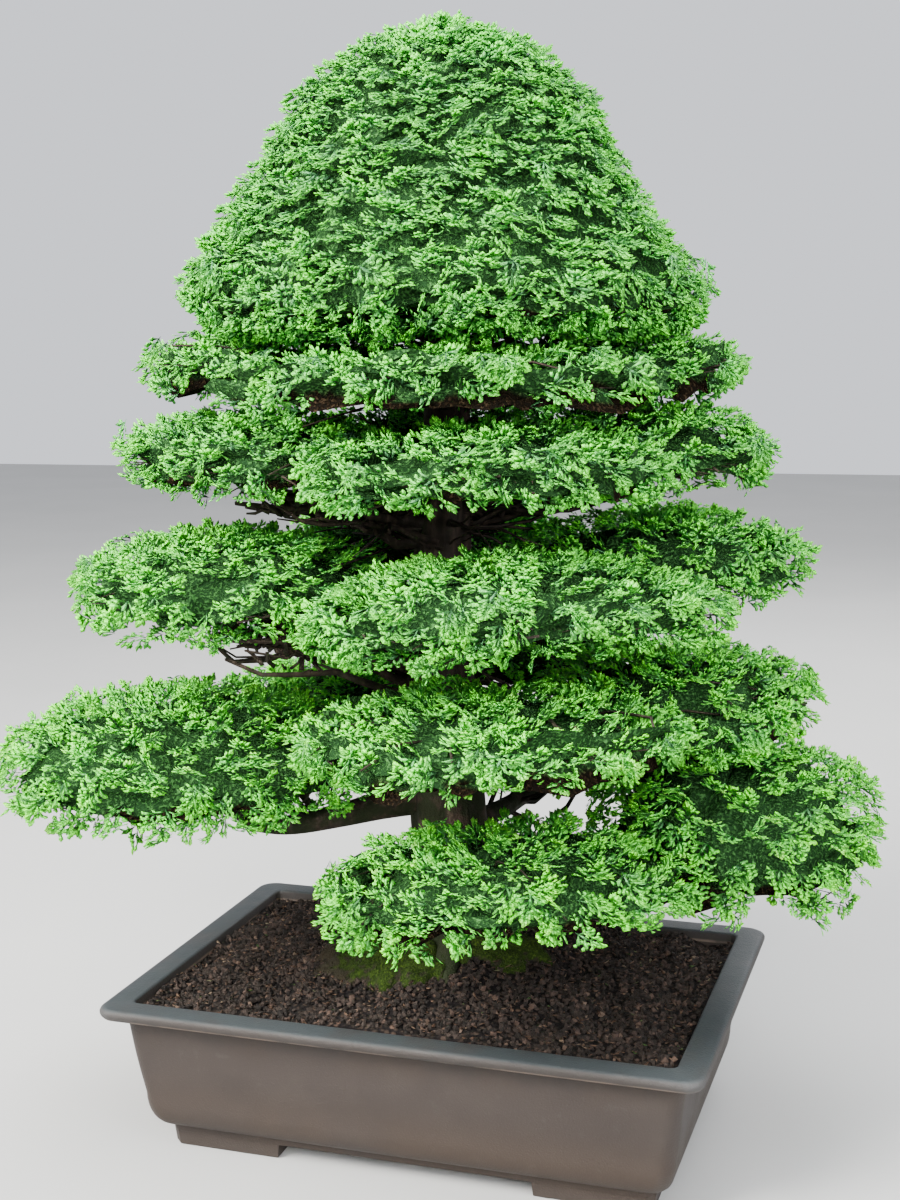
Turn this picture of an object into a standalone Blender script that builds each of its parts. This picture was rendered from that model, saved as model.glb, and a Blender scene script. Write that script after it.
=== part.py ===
"""Hinoki cypress bonsai: a clipped cone of tiered foliage pads on one trunk, in a low clay pot.

Metres, +Z up. The origin is the middle of the pot's footprint, on the surface that it stands on.
+X runs along the pot's long side and +Y away from its front.
"""

import math
from collections import namedtuple

import bmesh
import bpy
import numpy as np
from mathutils import Matrix, Vector

# Pot: outer lip, body and feet
POT_LENGTH = 0.460
POT_DEPTH = 0.314
POT_HEIGHT = 0.121
LIP_THICKNESS = 0.009
LIP_CORNER = 0.014
LIP_WIDTH = 0.022
WALL_TOP_INSET = 0.0155
WALL_FOOT_INSET = 0.0240
FOOT_CURVE_HEIGHT = 0.026
BODY_BASE = 0.0195
PLINTH_BASE = 0.0115
PLINTH_INSET = 0.0395
FLOOR_TOP = 0.031
WALL_THICKNESS = 0.0105
WALL_HOLLOW = 0.0006
LEDGE_WIDTH = 0.004
WALL_CORNER = 0.013
PLINTH_CORNER = 0.012
INNER_CORNER = 0.006
FOOT_ARM_X = 0.092
FOOT_ARM_Y = 0.070
FOOT_ARM_WIDTH = 0.020
DRAIN_RADIUS = 0.013
DRAIN_SPACING = 0.200

# Screens over the drain holes, soil and moss
SCREEN_SIDE = 0.044
SCREEN_THICKNESS = 0.0016
SCREEN_OPENING = 0.010
SCREEN_PITCH = 0.0145
GAP = 0.0003
SOIL_EDGE = 0.1130
SOIL_MOUND = 0.034
SOIL_MOUND_REACH = 0.115
MOSS_REACH = 0.082
MOSS_RISE = 0.013
MOSS_CENTRE = (-0.016, -0.010)

# Trunk: height above the bench, radius and drift of its centre line
TRUNK = (
    (0.090, 0.040, 0.000, 0.000),
    (0.128, 0.046, 0.000, 0.000),
    (0.150, 0.040, 0.001, 0.000),
    (0.178, 0.0335, 0.003, 0.001),
    (0.215, 0.0305, 0.003, 0.003),
    (0.260, 0.0295, 0.000, 0.004),
    (0.320, 0.0270, -0.003, 0.002),
    (0.390, 0.0245, -0.002, -0.002),
    (0.460, 0.0215, 0.002, -0.003),
    (0.530, 0.0185, 0.005, 0.000),
    (0.600, 0.0150, 0.005, 0.003),
    (0.670, 0.0115, 0.007, 0.004),
    (0.740, 0.0080, 0.010, 0.004),
    (0.795, 0.0050, 0.012, 0.004),
)

# Surface roots: distance from the trunk's middle, height and radius, for a root of middling length
ROOTS = 6
ROOT = (
    (0.012, 0.166, 0.0140),
    (0.036, 0.151, 0.0135),
    (0.064, 0.134, 0.0085),
    (0.080, 0.118, 0.0040),
)

# Limbs: how far up its pad and how far along it a limb ends, and its bend to the side and its sag on the way
LIMB_ENTRY = 0.26
LIMB_SHARE = 0.36
LIMB_BEND = 0.007
LIMB_SAG = 0.014

# Foliage pads: heading round the trunk in degrees, nearest and farthest reach from it, half width,
# lowest and highest point, and the radius of the limb that carries the pad
Pad = namedtuple("Pad", "name heading inner outer half_width low high branch")
PADS = (
    Pad("pad_1_left", 201, 0.050, 0.350, 0.145, 0.246, 0.350, 0.0120),
    Pad("pad_1_front", 308, 0.045, 0.272, 0.128, 0.218, 0.284, 0.0085),
    Pad("pad_1_right", 6, 0.060, 0.343, 0.132, 0.206, 0.300, 0.0100),
    Pad("pad_1_back_right", 68, 0.055, 0.300, 0.120, 0.226, 0.292, 0.0085),
    Pad("pad_1_back_left", 136, 0.055, 0.305, 0.120, 0.240, 0.306, 0.0085),
    Pad("pad_2_front", 298, 0.045, 0.292, 0.140, 0.320, 0.380, 0.0090),
    Pad("pad_2_right", 14, 0.055, 0.298, 0.140, 0.302, 0.384, 0.0090),
    Pad("pad_2_back", 96, 0.050, 0.288, 0.140, 0.316, 0.386, 0.0085),
    Pad("pad_3_left", 207, 0.040, 0.284, 0.140, 0.384, 0.483, 0.0090),
    Pad("pad_3_front", 306, 0.040, 0.264, 0.155, 0.392, 0.473, 0.0090),
    Pad("pad_3_right", 30, 0.045, 0.298, 0.120, 0.402, 0.484, 0.0080),
    Pad("pad_3_back", 114, 0.045, 0.268, 0.135, 0.400, 0.482, 0.0080),
    Pad("pad_4_left", 210, 0.034, 0.246, 0.125, 0.491, 0.564, 0.0075),
    Pad("pad_4_front", 302, 0.034, 0.240, 0.135, 0.484, 0.562, 0.0075),
    Pad("pad_4_right", 24, 0.036, 0.260, 0.120, 0.488, 0.564, 0.0070),
    Pad("pad_4_back", 112, 0.034, 0.242, 0.130, 0.488, 0.564, 0.0070),
    Pad("pad_5_left", 194, 0.026, 0.228, 0.110, 0.568, 0.612, 0.0055),
    Pad("pad_5_front", 288, 0.026, 0.216, 0.165, 0.565, 0.612, 0.0060),
    Pad("pad_5_right", 22, 0.026, 0.236, 0.110, 0.568, 0.612, 0.0055),
    Pad("pad_5_back", 108, 0.026, 0.216, 0.135, 0.568, 0.612, 0.0055),
)
# Crown: height and outer radius of the clipped dome, from its skirt to its tip
CROWN = (
    (0.615, 0.155),
    (0.626, 0.188),
    (0.650, 0.198),
    (0.690, 0.178),
    (0.720, 0.158),
    (0.752, 0.138),
    (0.788, 0.115),
    (0.816, 0.087),
    (0.834, 0.056),
    (0.847, 0.014),
)
CROWN_CENTRE = (0.006, 0.003)
CROWN_SHELVES = 7
CROWN_LOBES = 14
CROWN_UNDERSIDE_INSET = 0.060
CROWN_TIP_DROP = 0.07
CROWN_NOTCH_LIFT = 0.10
CROWN_SWAY = 0.004
CROWN_SPRAY_ROWS = 5
TIP_SPRAYS = 4

# No spray reaches past these distances from the pot's middle
REACH_X = 0.344
REACH_Y = 0.280

# Shelves of a pad, as shares of its reach and of its height, and the lobes along their rims
LOBE_WIDTH = 0.064
NOTCH_DEPTH = 0.014
PAD_SHELVES = ((0.92, 0.08), (1.0, 0.40), (0.76, 0.80))
SHELF_UNDERCUT = 0.07
SHELF_RECESS = 0.05
UNDERSIDE_SHARE = 0.66
UNDERSIDE_LEVEL = 0.12

# Loose sprays that stand out of the shelves
SPRAY_REACH = 0.92
FAN_LENGTH = 0.058
FAN_ROOT_DEPTH = 0.012
FAN_SPACING = 0.084
FAN_HALF_ANGLE = 54
FAN_NOTCH = 0.68
FAN_LOBES = 3
FAN_SUNK = 0.30
GOLDEN_ANGLE = math.pi * (3 - math.sqrt(5))
SEED = 11

COLOURS = {
    "clay": ((0.150, 0.125, 0.112), 0.62),
    "soil": ((0.050, 0.036, 0.030), 0.95),
    "screen": ((0.030, 0.030, 0.032), 0.50),
    "moss": ((0.060, 0.120, 0.020), 0.90),
    "bark": ((0.140, 0.090, 0.060), 0.85),
    "foliage": ((0.100, 0.300, 0.050), 0.60),
}


def clear_scene():
    for obj in list(bpy.data.objects):
        bpy.data.objects.remove(obj)


def new_collection(name):
    made = bpy.data.collections.new(name)
    bpy.context.scene.collection.children.link(made)
    return made


def make_materials():
    """One plain Principled material for each finish."""
    made = {}
    for name, (colour, roughness) in COLOURS.items():
        material = bpy.data.materials.new(name)
        material.use_nodes = True
        shader = material.node_tree.nodes["Principled BSDF"]
        shader.inputs["Base Color"].default_value = (*colour, 1.0)
        shader.inputs["Roughness"].default_value = roughness
        made[name] = material
    return made


def object_of(name, mesh, collection):
    obj = bpy.data.objects.new(name, mesh)
    collection.objects.link(obj)
    return obj


def mesh_from(name, points, faces):
    mesh = bpy.data.meshes.new(name)
    mesh.from_pydata([tuple(p) for p in points], [], [tuple(f) for f in faces])
    bm = bmesh.new()
    bm.from_mesh(mesh)
    bmesh.ops.triangulate(bm, faces=bm.faces)
    bm.to_mesh(mesh)
    bm.free()
    return mesh


def remove_all(objects):
    for obj in list(objects):
        bpy.data.objects.remove(obj)


def evaluated_mesh(obj):
    graph = bpy.context.evaluated_depsgraph_get()
    return bpy.data.meshes.new_from_object(obj.evaluated_get(graph))


def keep_largest_body(mesh):
    """Drops the loose scraps that a cut leaves beside the one real body."""
    bm = bmesh.new()
    bm.from_mesh(mesh)
    bmesh.ops.remove_doubles(bm, verts=bm.verts, dist=1e-6)
    bodies, seen = [], set()
    for start in bm.verts:
        if start in seen:
            continue
        body, stack = set(), [start]
        while stack:
            vert = stack.pop()
            if vert in body:
                continue
            body.add(vert)
            stack.extend(edge.other_vert(vert) for edge in vert.link_edges)
        seen |= body
        bodies.append(body)
    for body in sorted(bodies, key=len)[:-1]:
        bmesh.ops.delete(bm, geom=list(body), context="VERTS")
    bm.to_mesh(mesh)
    bm.free()


def is_closed(mesh):
    """Whether every edge of a mesh joins just two faces."""
    bm = bmesh.new()
    bm.from_mesh(mesh)
    closed = len(bm.faces) > 0 and all(len(edge.link_faces) == 2 for edge in bm.edges)
    bm.free()
    return closed


def combine(obj, others, operation):
    """Applies one Boolean of obj with a collection of meshes, then removes those meshes.

    Where the exact solver leaves an open edge, the manifold solver does the same work."""
    group = bpy.data.collections.new("operands")
    bpy.context.scene.collection.children.link(group)
    for other in others:
        group.objects.link(other)
    modifier = obj.modifiers.new("combine", "BOOLEAN")
    modifier.operation = operation
    modifier.operand_type = "COLLECTION"
    modifier.collection = group
    modifier.solver = "EXACT"
    mesh = evaluated_mesh(obj)
    if not is_closed(mesh):
        modifier.solver = "MANIFOLD"
        mesh = evaluated_mesh(obj)
    obj.modifiers.clear()
    old, obj.data = obj.data, mesh
    bpy.data.meshes.remove(old)
    remove_all(others)
    bpy.data.collections.remove(group)
    keep_largest_body(obj.data)
    return obj


def loft(name, rings, collection, foot_rise=0.0, head_rise=0.0):
    """A closed solid through rings of equal point count, counter-clockwise seen from above.

    Each end closes round a middle point, which a rise lifts out of the ring's level."""
    count = len(rings[0])
    foot = rings[0].mean(axis=0) + np.array([0.0, 0.0, foot_rise])
    head = rings[-1].mean(axis=0) + np.array([0.0, 0.0, head_rise])
    points = np.concatenate([*rings, foot[None, :], head[None, :]])
    first_of_last = (len(rings) - 1) * count
    foot_index = len(rings) * count
    faces = []
    for i in range(count):
        after = (i + 1) % count
        faces.append((after, i, foot_index))
        faces.append((first_of_last + i, first_of_last + after, foot_index + 1))
        for ring in range(len(rings) - 1):
            start = ring * count
            faces.append((start + i, start + after, start + after + count, start + i + count))
    return object_of(name, mesh_from(name, points, faces), collection)


def rounded_rectangle(inset, z, corner, steps=3, sides=1):
    """The pot's plan drawn in by inset: four corner arcs joined by straight sides, counter-clockwise."""
    half_x = POT_LENGTH / 2 - inset
    half_y = POT_DEPTH / 2 - inset
    arcs = []
    for quarter, (sign_x, sign_y) in enumerate(((1, 1), (-1, 1), (-1, -1), (1, -1))):
        turns = math.pi / 2 * (quarter + np.linspace(0, 1, steps + 1))
        centre = np.array([sign_x * (half_x - corner), sign_y * (half_y - corner)])
        arcs.append(centre + corner * np.column_stack([np.cos(turns), np.sin(turns)]))
    plan = []
    for arc, following in zip(arcs, arcs[1:] + arcs[:1]):
        plan.append(arc)
        shares = np.arange(1, sides + 1)[:, None] / (sides + 1)
        plan.append(arc[-1] + (following[0] - arc[-1]) * shares)
    plan = np.concatenate(plan)
    return np.column_stack([plan, np.full(len(plan), z)])


def pot_profile():
    """Inset, height and corner radius: from under the plinth, up the outside, over the lip, to the floor."""
    wall_foot = BODY_BASE + FOOT_CURVE_HEIGHT
    lip_base = POT_HEIGHT - LIP_THICKNESS
    curve_width = PLINTH_INSET - LEDGE_WIDTH - WALL_FOOT_INSET
    stations = [
        (PLINTH_INSET + 0.0010, PLINTH_BASE, PLINTH_CORNER),
        (PLINTH_INSET, PLINTH_BASE + 0.0015, PLINTH_CORNER),
        (PLINTH_INSET, BODY_BASE, PLINTH_CORNER),
    ]
    for angle in np.radians((0, 30, 60, 90)):
        inset = WALL_FOOT_INSET + curve_width * (1 - math.sin(angle))
        height = BODY_BASE + FOOT_CURVE_HEIGHT * (1 - math.cos(angle))
        stations.append((inset, height, WALL_CORNER))
    stations += [
        ((WALL_FOOT_INSET + WALL_TOP_INSET) / 2 - WALL_HOLLOW, (wall_foot + lip_base) / 2, WALL_CORNER),
        (WALL_TOP_INSET, lip_base - 0.0020, WALL_CORNER),
        (WALL_TOP_INSET - 0.0020, lip_base, WALL_CORNER),
        (0.0030, lip_base + 0.0002, LIP_CORNER - 0.002),
        (0.0006, lip_base + 0.0022, LIP_CORNER),
        (0.0000, POT_HEIGHT - 0.0040, LIP_CORNER),
        (0.0012, POT_HEIGHT - 0.0012, LIP_CORNER),
        (0.0040, POT_HEIGHT, LIP_CORNER - 0.002),
        (LIP_WIDTH - 0.0015, POT_HEIGHT, INNER_CORNER),
        (LIP_WIDTH, POT_HEIGHT - 0.0015, INNER_CORNER),
        (LIP_WIDTH + 0.0010, lip_base, INNER_CORNER),
        (WALL_FOOT_INSET + WALL_THICKNESS, wall_foot, INNER_CORNER),
        (WALL_FOOT_INSET + WALL_THICKNESS + 0.0055, FLOOR_TOP + 0.006, INNER_CORNER),
        (WALL_FOOT_INSET + WALL_THICKNESS + 0.0125, FLOOR_TOP, INNER_CORNER),
    ]
    return stations


def make_cylinder(name, radius, low, high, place, collection, sides=20):
    bm = bmesh.new()
    bmesh.ops.create_cone(
        bm, cap_ends=True, segments=sides, radius1=radius, radius2=radius, depth=high - low
    )
    bmesh.ops.translate(bm, verts=bm.verts, vec=(place[0], place[1], (low + high) / 2))
    mesh = bpy.data.meshes.new(name)
    bm.to_mesh(mesh)
    bm.free()
    return object_of(name, mesh, collection)


def make_box(name, low, high, collection):
    bm = bmesh.new()
    bmesh.ops.create_cube(bm, size=1.0)
    size = Vector(high) - Vector(low)
    bmesh.ops.scale(bm, verts=bm.verts, vec=size)
    bmesh.ops.translate(bm, verts=bm.verts, vec=(Vector(high) + Vector(low)) / 2)
    mesh = bpy.data.meshes.new(name)
    bm.to_mesh(mesh)
    bm.free()
    return object_of(name, mesh, collection)


def foot_outline(shrink):
    """An L round one corner of the plinth, in the quarter where x and y are positive."""
    far_x = POT_LENGTH / 2 - PLINTH_INSET - shrink
    far_y = POT_DEPTH / 2 - PLINTH_INSET - shrink
    near_x = far_x - FOOT_ARM_X + 2 * shrink
    near_y = far_y - FOOT_ARM_Y + 2 * shrink
    chamfer = 0.006
    width = FOOT_ARM_WIDTH - shrink
    return (
        (far_x - chamfer, far_y),
        (near_x, far_y),
        (near_x, far_y - width),
        (far_x - width, far_y - width),
        (far_x - width, near_y),
        (far_x, near_y),
        (far_x, far_y - chamfer),
    )


def make_feet(collection):
    """Four corner feet that taper to flat soles and run up into the plinth."""
    feet = []
    for sign_x in (1, -1):
        for sign_y in (1, -1):
            rings = []
            for shrink, z in ((0.0022, 0.0), (0.0008, PLINTH_BASE + 0.0020)):
                outline = [(sign_x * x, sign_y * y, z) for x, y in foot_outline(shrink)]
                rings.append(np.array(outline if sign_x * sign_y > 0 else outline[::-1]))
            feet.append(loft("foot", rings, collection))
    return feet


def make_pot(collection, materials):
    rings = [rounded_rectangle(inset, z, corner) for inset, z, corner in pot_profile()]
    pot = loft("pot", rings, collection)
    combine(pot, make_feet(collection), "UNION")
    drains = [
        make_cylinder("drain", DRAIN_RADIUS, 0.0, FLOOR_TOP + 0.01, (side * DRAIN_SPACING / 2, 0), collection)
        for side in (-1, 1)
    ]
    combine(pot, drains, "DIFFERENCE")
    pot.data.materials.append(materials["clay"])
    return pot


def make_screens(collection, materials):
    """A square of coarse mesh over each drain hole, lying on the pot's floor."""
    for side, name in ((-1, "drain_screen_left"), (1, "drain_screen_right")):
        centre = side * DRAIN_SPACING / 2
        low = FLOOR_TOP + GAP
        screen = make_box(
            name,
            (centre - SCREEN_SIDE / 2, -SCREEN_SIDE / 2, low),
            (centre + SCREEN_SIDE / 2, SCREEN_SIDE / 2, low + SCREEN_THICKNESS),
            collection,
        )
        openings = []
        for row in (-0.5, 0.5):
            for column in (-0.5, 0.5):
                x = centre + column * SCREEN_PITCH
                y = row * SCREEN_PITCH
                half = SCREEN_OPENING / 2
                openings.append(
                    make_box(
                        "opening",
                        (x - half, y - half, low - 0.005),
                        (x + half, y + half, low + SCREEN_THICKNESS + 0.005),
                        collection,
                    )
                )
        combine(screen, openings, "DIFFERENCE")
        screen.data.materials.append(materials["screen"])


def crumbs(x, y):
    """Low lumps in a soil surface, a sum of crossed waves."""
    return 0.0016 * (math.sin(97 * x + 41 * y) + math.sin(63 * y - 88 * x + 1.3) + math.sin(151 * x + 2.1))


def soil_height(x, y):
    """The soil's level: low at the wall, rising in a bell round the trunk."""
    mound = math.exp(-((x * x + y * y) / SOIL_MOUND_REACH**2))
    return SOIL_EDGE + SOIL_MOUND * mound + crumbs(x, y)


def make_soil(collection, materials):
    """Fills the pot clear of its walls, under a mounded top."""
    lip_base = POT_HEIGHT - LIP_THICKNESS
    clear = 4 * GAP
    stations = (
        (WALL_FOOT_INSET + WALL_THICKNESS + 0.0125, FLOOR_TOP + GAP),
        (WALL_FOOT_INSET + WALL_THICKNESS + 0.0055, FLOOR_TOP + 0.0065),
        (WALL_FOOT_INSET + WALL_THICKNESS, BODY_BASE + FOOT_CURVE_HEIGHT),
        (LIP_WIDTH + 0.0010, lip_base - 0.004),
    )
    rings = [rounded_rectangle(inset + clear, z, INNER_CORNER, 2, 3) for inset, z in stations]
    edge = rounded_rectangle(LIP_WIDTH + 0.0010 + clear, lip_base, INNER_CORNER, 2, 3)
    for share in (1.0, 0.84, 0.66, 0.48, 0.30, 0.16):
        ring = edge.copy()
        ring[:, :2] *= share
        ring[:, 2] = [soil_height(x, y) for x, y in ring[:, :2]]
        rings.append(ring)
    rings[-1][:, 2] = SOIL_EDGE + SOIL_MOUND
    soil = loft("soil", rings, collection)
    pockets = []
    for side in (-1, 1):
        reach = SCREEN_SIDE / 2 + GAP
        centre_x = side * DRAIN_SPACING / 2
        pockets.append(
            make_box(
                "pocket",
                (centre_x - reach, -reach, FLOOR_TOP - 0.005),
                (centre_x + reach, reach, FLOOR_TOP + 2 * GAP + SCREEN_THICKNESS),
                collection,
            )
        )
    combine(soil, pockets, "DIFFERENCE")
    soil.data.materials.append(materials["soil"])
    return soil


def tube(name, points, radii, sides_level, collection):
    """A filled, tapering tube along a smooth line of points, as a closed mesh."""
    curve = bpy.data.curves.new(name, "CURVE")
    curve.dimensions = "3D"
    curve.bevel_depth = 1.0
    curve.bevel_resolution = sides_level
    curve.use_fill_caps = True
    spline = curve.splines.new("POLY")
    spline.points.add(len(points) - 1)
    for point, place, radius in zip(spline.points, points, radii):
        point.co = (*place, 1.0)
        point.radius = radius
    guide = bpy.data.objects.new(name, curve)
    collection.objects.link(guide)
    mesh = evaluated_mesh(guide)
    matrix = guide.matrix_world.copy()
    bpy.data.objects.remove(guide)
    bm = bmesh.new()
    bm.from_mesh(mesh)
    bmesh.ops.remove_doubles(bm, verts=bm.verts, dist=1e-5)
    bmesh.ops.recalc_face_normals(bm, faces=bm.faces)
    bm.to_mesh(mesh)
    bm.free()
    mesh.materials.clear()
    obj = object_of(name, mesh, collection)
    obj.matrix_world = matrix
    return obj


def trunk_centre(z):
    """A point of the trunk's centre line, read between its stations."""
    heights = [station[0] for station in TRUNK]
    x, y = (np.interp(z, heights, [station[k] for station in TRUNK]) for k in (2, 3))
    return np.array([x, y, z])


def heading_vector(degrees):
    angle = math.radians(degrees)
    return np.array([math.cos(angle), math.sin(angle), 0.0])


def branch_height(pad):
    """Where the limb enters its pad."""
    return pad.low + LIMB_ENTRY * (pad.high - pad.low)


def branch_line(pad, swell=0.0):
    """Points and radii of a limb: out of the trunk's heart, with a shallow S, into the pad's core."""
    end_height = branch_height(pad)
    start = trunk_centre(end_height - 0.012)
    out = heading_vector(pad.heading)
    side = np.array([-out[1], out[0], 0.0])
    reach = pad.inner + LIMB_SHARE * (pad.outer - pad.inner)
    bend = LIMB_BEND * math.sin(pad.heading * 1.7 + pad.low * 40)
    points, radii = [], []
    for share in (0.0, 0.30, 0.55, 0.80, 1.0):
        wave = bend * math.sin(2.0 * math.pi * share) * (1 - share)
        sag = LIMB_SAG * share * (1 - share)
        place = start + out * reach * share + side * wave
        place[2] = start[2] + (end_height - start[2]) * min(1.0, share * 2.2) - sag
        points.append(place)
        radii.append(pad.branch * (1.15 - 0.65 * share) + swell)
    return points, radii


def make_wood(name, collection, swell=0.0):
    """Trunk, surface roots and limbs in one grown piece. A swell makes the clearance cutter."""
    points = [np.array([x, y, z]) for z, _, x, y in TRUNK]
    radii = [radius + swell for _, radius, _, _ in TRUNK]
    if swell:
        points[0] = points[0] - np.array([0.0, 0.0, swell])
        points[-1] = points[-1] + np.array([0.0, 0.0, swell])
    wood = tube(name, points, radii, 4, collection)
    limbs = []
    for pad in PADS:
        line, sizes = branch_line(pad, swell)
        if swell:
            line[-1] = line[-1] + heading_vector(pad.heading) * swell
        limbs.append(tube("limb", line, sizes, 1, collection))
    for index in range(ROOTS):
        out = heading_vector(360 / ROOTS * index + 14 * math.sin(index * 2.3))
        length = 1.0 + 0.18 * math.sin(index * 1.9)
        line = [out * distance * length + np.array([0.0, 0.0, z]) for distance, z, _ in ROOT]
        line[-1] = line[-1] + out * swell
        sizes = [radius + swell for _, _, radius in ROOT]
        limbs.append(tube("root", line, sizes, 1, collection))
    return combine(wood, limbs, "UNION")


def make_moss(collection, materials):
    """A soft mat heaped round the roots, with a wavy edge, trimmed later to the soil and the wood."""
    sectors = 18
    rings = []
    for share, rise in ((1.0, -0.012), (1.0, 0.001), (0.82, 0.70), (0.58, 0.95), (0.28, 1.0)):
        ring = []
        for k in range(sectors):
            angle = 2 * math.pi * k / sectors
            edge = MOSS_REACH * (1 + 0.16 * math.sin(3 * angle + 0.6) + 0.09 * math.sin(5 * angle + 2.0))
            x = MOSS_CENTRE[0] * share + edge * share * math.cos(angle)
            y = MOSS_CENTRE[1] * share + edge * share * math.sin(angle)
            lump = 1 + 0.25 * math.sin(7 * angle + 9 * share)
            ring.append((x, y, soil_height(x, y) + MOSS_RISE * rise * lump + (rise if rise < 0 else 0)))
        rings.append(np.array(ring))
    moss = loft("moss_mat", rings, collection)
    moss.data.materials.append(materials["moss"])
    return moss


def fan_template():
    """A cone drawn out into a lobed spray: it points along +X, its face looks up +Z and its apex is the root.

    The rim's points run round the root in even steps of angle from one side to the other. Their distance
    swells at each lobe and dips at each notch, and one last point closes the rim behind the root."""
    rim_count = 2 * FAN_LOBES
    bm = bmesh.new()
    bmesh.ops.create_cone(bm, cap_ends=True, segments=rim_count, radius1=0.0, radius2=1.0, depth=1.0)
    bmesh.ops.remove_doubles(bm, verts=bm.verts, dist=1e-6)
    rim = sorted((v for v in bm.verts if v.co.z > 0), key=lambda v: math.atan2(v.co.y, v.co.x))
    for index, vert in enumerate(rim[:-1]):
        spread = index / (rim_count - 2)
        angle = math.radians(FAN_HALF_ANGLE * (2 * spread - 1))
        lobe = index % 2 == 0
        radius = 1.0 - 0.12 * abs(2 * spread - 1) if lobe else FAN_NOTCH
        drop = -0.10 * radius * radius - (0.0 if lobe else 0.05)
        vert.co = (radius * math.cos(angle) + 0.05, radius * math.sin(angle), drop)
    rim[-1].co = (-0.22, 0.0, 0.04)
    for vert in bm.verts:
        if vert not in rim:
            vert.co = (0.02, 0.0, -FAN_ROOT_DEPTH / FAN_LENGTH)
    bmesh.ops.triangulate(bm, faces=[face for face in bm.faces if len(face.verts) > 3])
    bmesh.ops.recalc_face_normals(bm, faces=bm.faces)
    bm.verts.index_update()
    points = np.array([v.co for v in bm.verts])
    faces = [tuple(v.index for v in face.verts) for face in bm.faces]
    bm.free()
    return points, faces


def unit(vector):
    return vector / max(np.linalg.norm(vector), 1e-9)


def place_fan(template, root, forward, up, size, twist):
    """The template's points with its root at a place, turned about its own forward line by twist."""
    forward = unit(forward)
    side = unit(np.cross(up, forward))
    face = np.cross(forward, side)
    side, face = (
        side * math.cos(twist) + face * math.sin(twist),
        face * math.cos(twist) - side * math.sin(twist),
    )
    return root + size * (template @ np.array([forward, side, face]))


def dome_height(share):
    """How high a pad's top stands, of its full height, at a share of the way from its middle to its rim."""
    return 0.40 + 0.52 * max(0.0, 1 - share**2.4) ** 0.60


def pad_point(pad, turn, share, level, inset=0.0):
    """A point of a pad: turn goes round its middle from its outward end, share runs out to its outline."""
    half_length = (pad.outer - pad.inner) / 2
    half_width = pad.half_width * (1 + 0.15 * math.cos(turn))
    radius = 1 / math.hypot(math.cos(turn) / half_length, math.sin(turn) / half_width)
    radius *= 1 + 0.04 * math.sin(3 * turn + pad.heading) + 0.03 * math.sin(5 * turn + pad.low * 90)
    radius = (radius - inset) * share
    out = heading_vector(pad.heading)
    side = np.array([-out[1], out[0], 0.0])
    place = out * ((pad.inner + pad.outer) / 2 + radius * math.cos(turn)) + side * radius * math.sin(turn)
    place[2] = pad.low + level * (pad.high - pad.low)
    return place


def pad_neighbours(pad):
    """The headings halfway to the pads on either side in the same tier."""
    tier = sorted(p.heading % 360 for p in PADS if p.name.split("_")[1] == pad.name.split("_")[1])
    place = tier.index(pad.heading % 360)
    after = (tier[(place + 1) % len(tier)] - pad.heading) % 360
    before = (pad.heading - tier[place - 1]) % 360
    return before / 2, after / 2


def moved_within(values, low, high):
    """Slides a spray's values as one between two limits, and clips only what is still too wide."""
    values = values - max(0.0, float(np.max(values - high)))
    values = values + max(0.0, float(np.max(low - values)))
    return np.clip(values, low, high)


def bend_clear(points, pad, jitter):
    """Moves a spray's points back inside the pad's own sector, reach and height, so that pads never cross."""
    out = heading_vector(pad.heading)
    side = np.array([-out[1], out[0], 0.0])
    along, across = points @ out, points @ side
    reach = np.hypot(along, across)
    turn = np.degrees(np.arctan2(across, along))
    before, after = pad_neighbours(pad)
    slack = np.degrees((0.0010 + jitter * 0.0015) / max(float(np.min(reach)), 0.03))
    turn = moved_within(turn, slack - before, after - slack)
    reach = moved_within(reach, 0.0, pad.outer - 0.004 * jitter)
    bent = np.outer(reach * np.cos(np.radians(turn)), out) + np.outer(reach * np.sin(np.radians(turn)), side)
    bent[:, 0] = moved_within(bent[:, 0], -REACH_X, REACH_X)
    bent[:, 1] = moved_within(bent[:, 1], -REACH_Y, REACH_Y)
    bent[:, 2] = moved_within(points[:, 2], pad.low + 0.003 * jitter, pad.high - 0.003 * jitter)
    return bent


def lobed_ring(place, lobes, share, level, phase, random):
    """The rim of one shelf of sprays: its tips reach out and hang, its notches draw in and rise."""
    ring = []
    for step in range(2 * lobes):
        tip = step % 2 == 0
        turn = math.pi * (step + phase) / lobes
        reach = random.uniform(-0.003, 0.003)
        if tip:
            ring.append(place(turn, share, level - 0.03, reach))
        else:
            ring.append(place(turn, share, level + 0.03, NOTCH_DEPTH + reach))
    return np.array(ring)


def plain_ring(place, lobes, share, level, phase):
    """The recess behind a shelf's rim."""
    turns = [math.pi * (step + phase) / lobes for step in range(2 * lobes)]
    return np.array([place(turn, share, level, 0.0) for turn in turns])


def spray(template, root, outward, lift, random):
    """One spray sunk into a core at its root, heading outward and up or down by lift."""
    size = FAN_LENGTH * random.uniform(0.90, 1.08)
    start = root - outward * FAN_SUNK * size * min(1.0, max(0.0, 0.6 - 2.0 * lift))
    forward = outward + np.array([0.0, 0.0, lift])
    twist = random.uniform(-0.30, 0.30)
    return place_fan(template, start, forward, np.array([0.0, 0.0, 1.0]), size, twist)


def join_sprays(obj, sprays, faces, collection, materials):
    """Fuses the sprays into their core and finishes the node."""
    fans = [object_of("fan", mesh_from("fan", points, faces), collection) for points in sprays]
    combine(obj, fans, "UNION")
    obj.data.materials.append(materials["foliage"])
    return obj


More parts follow.
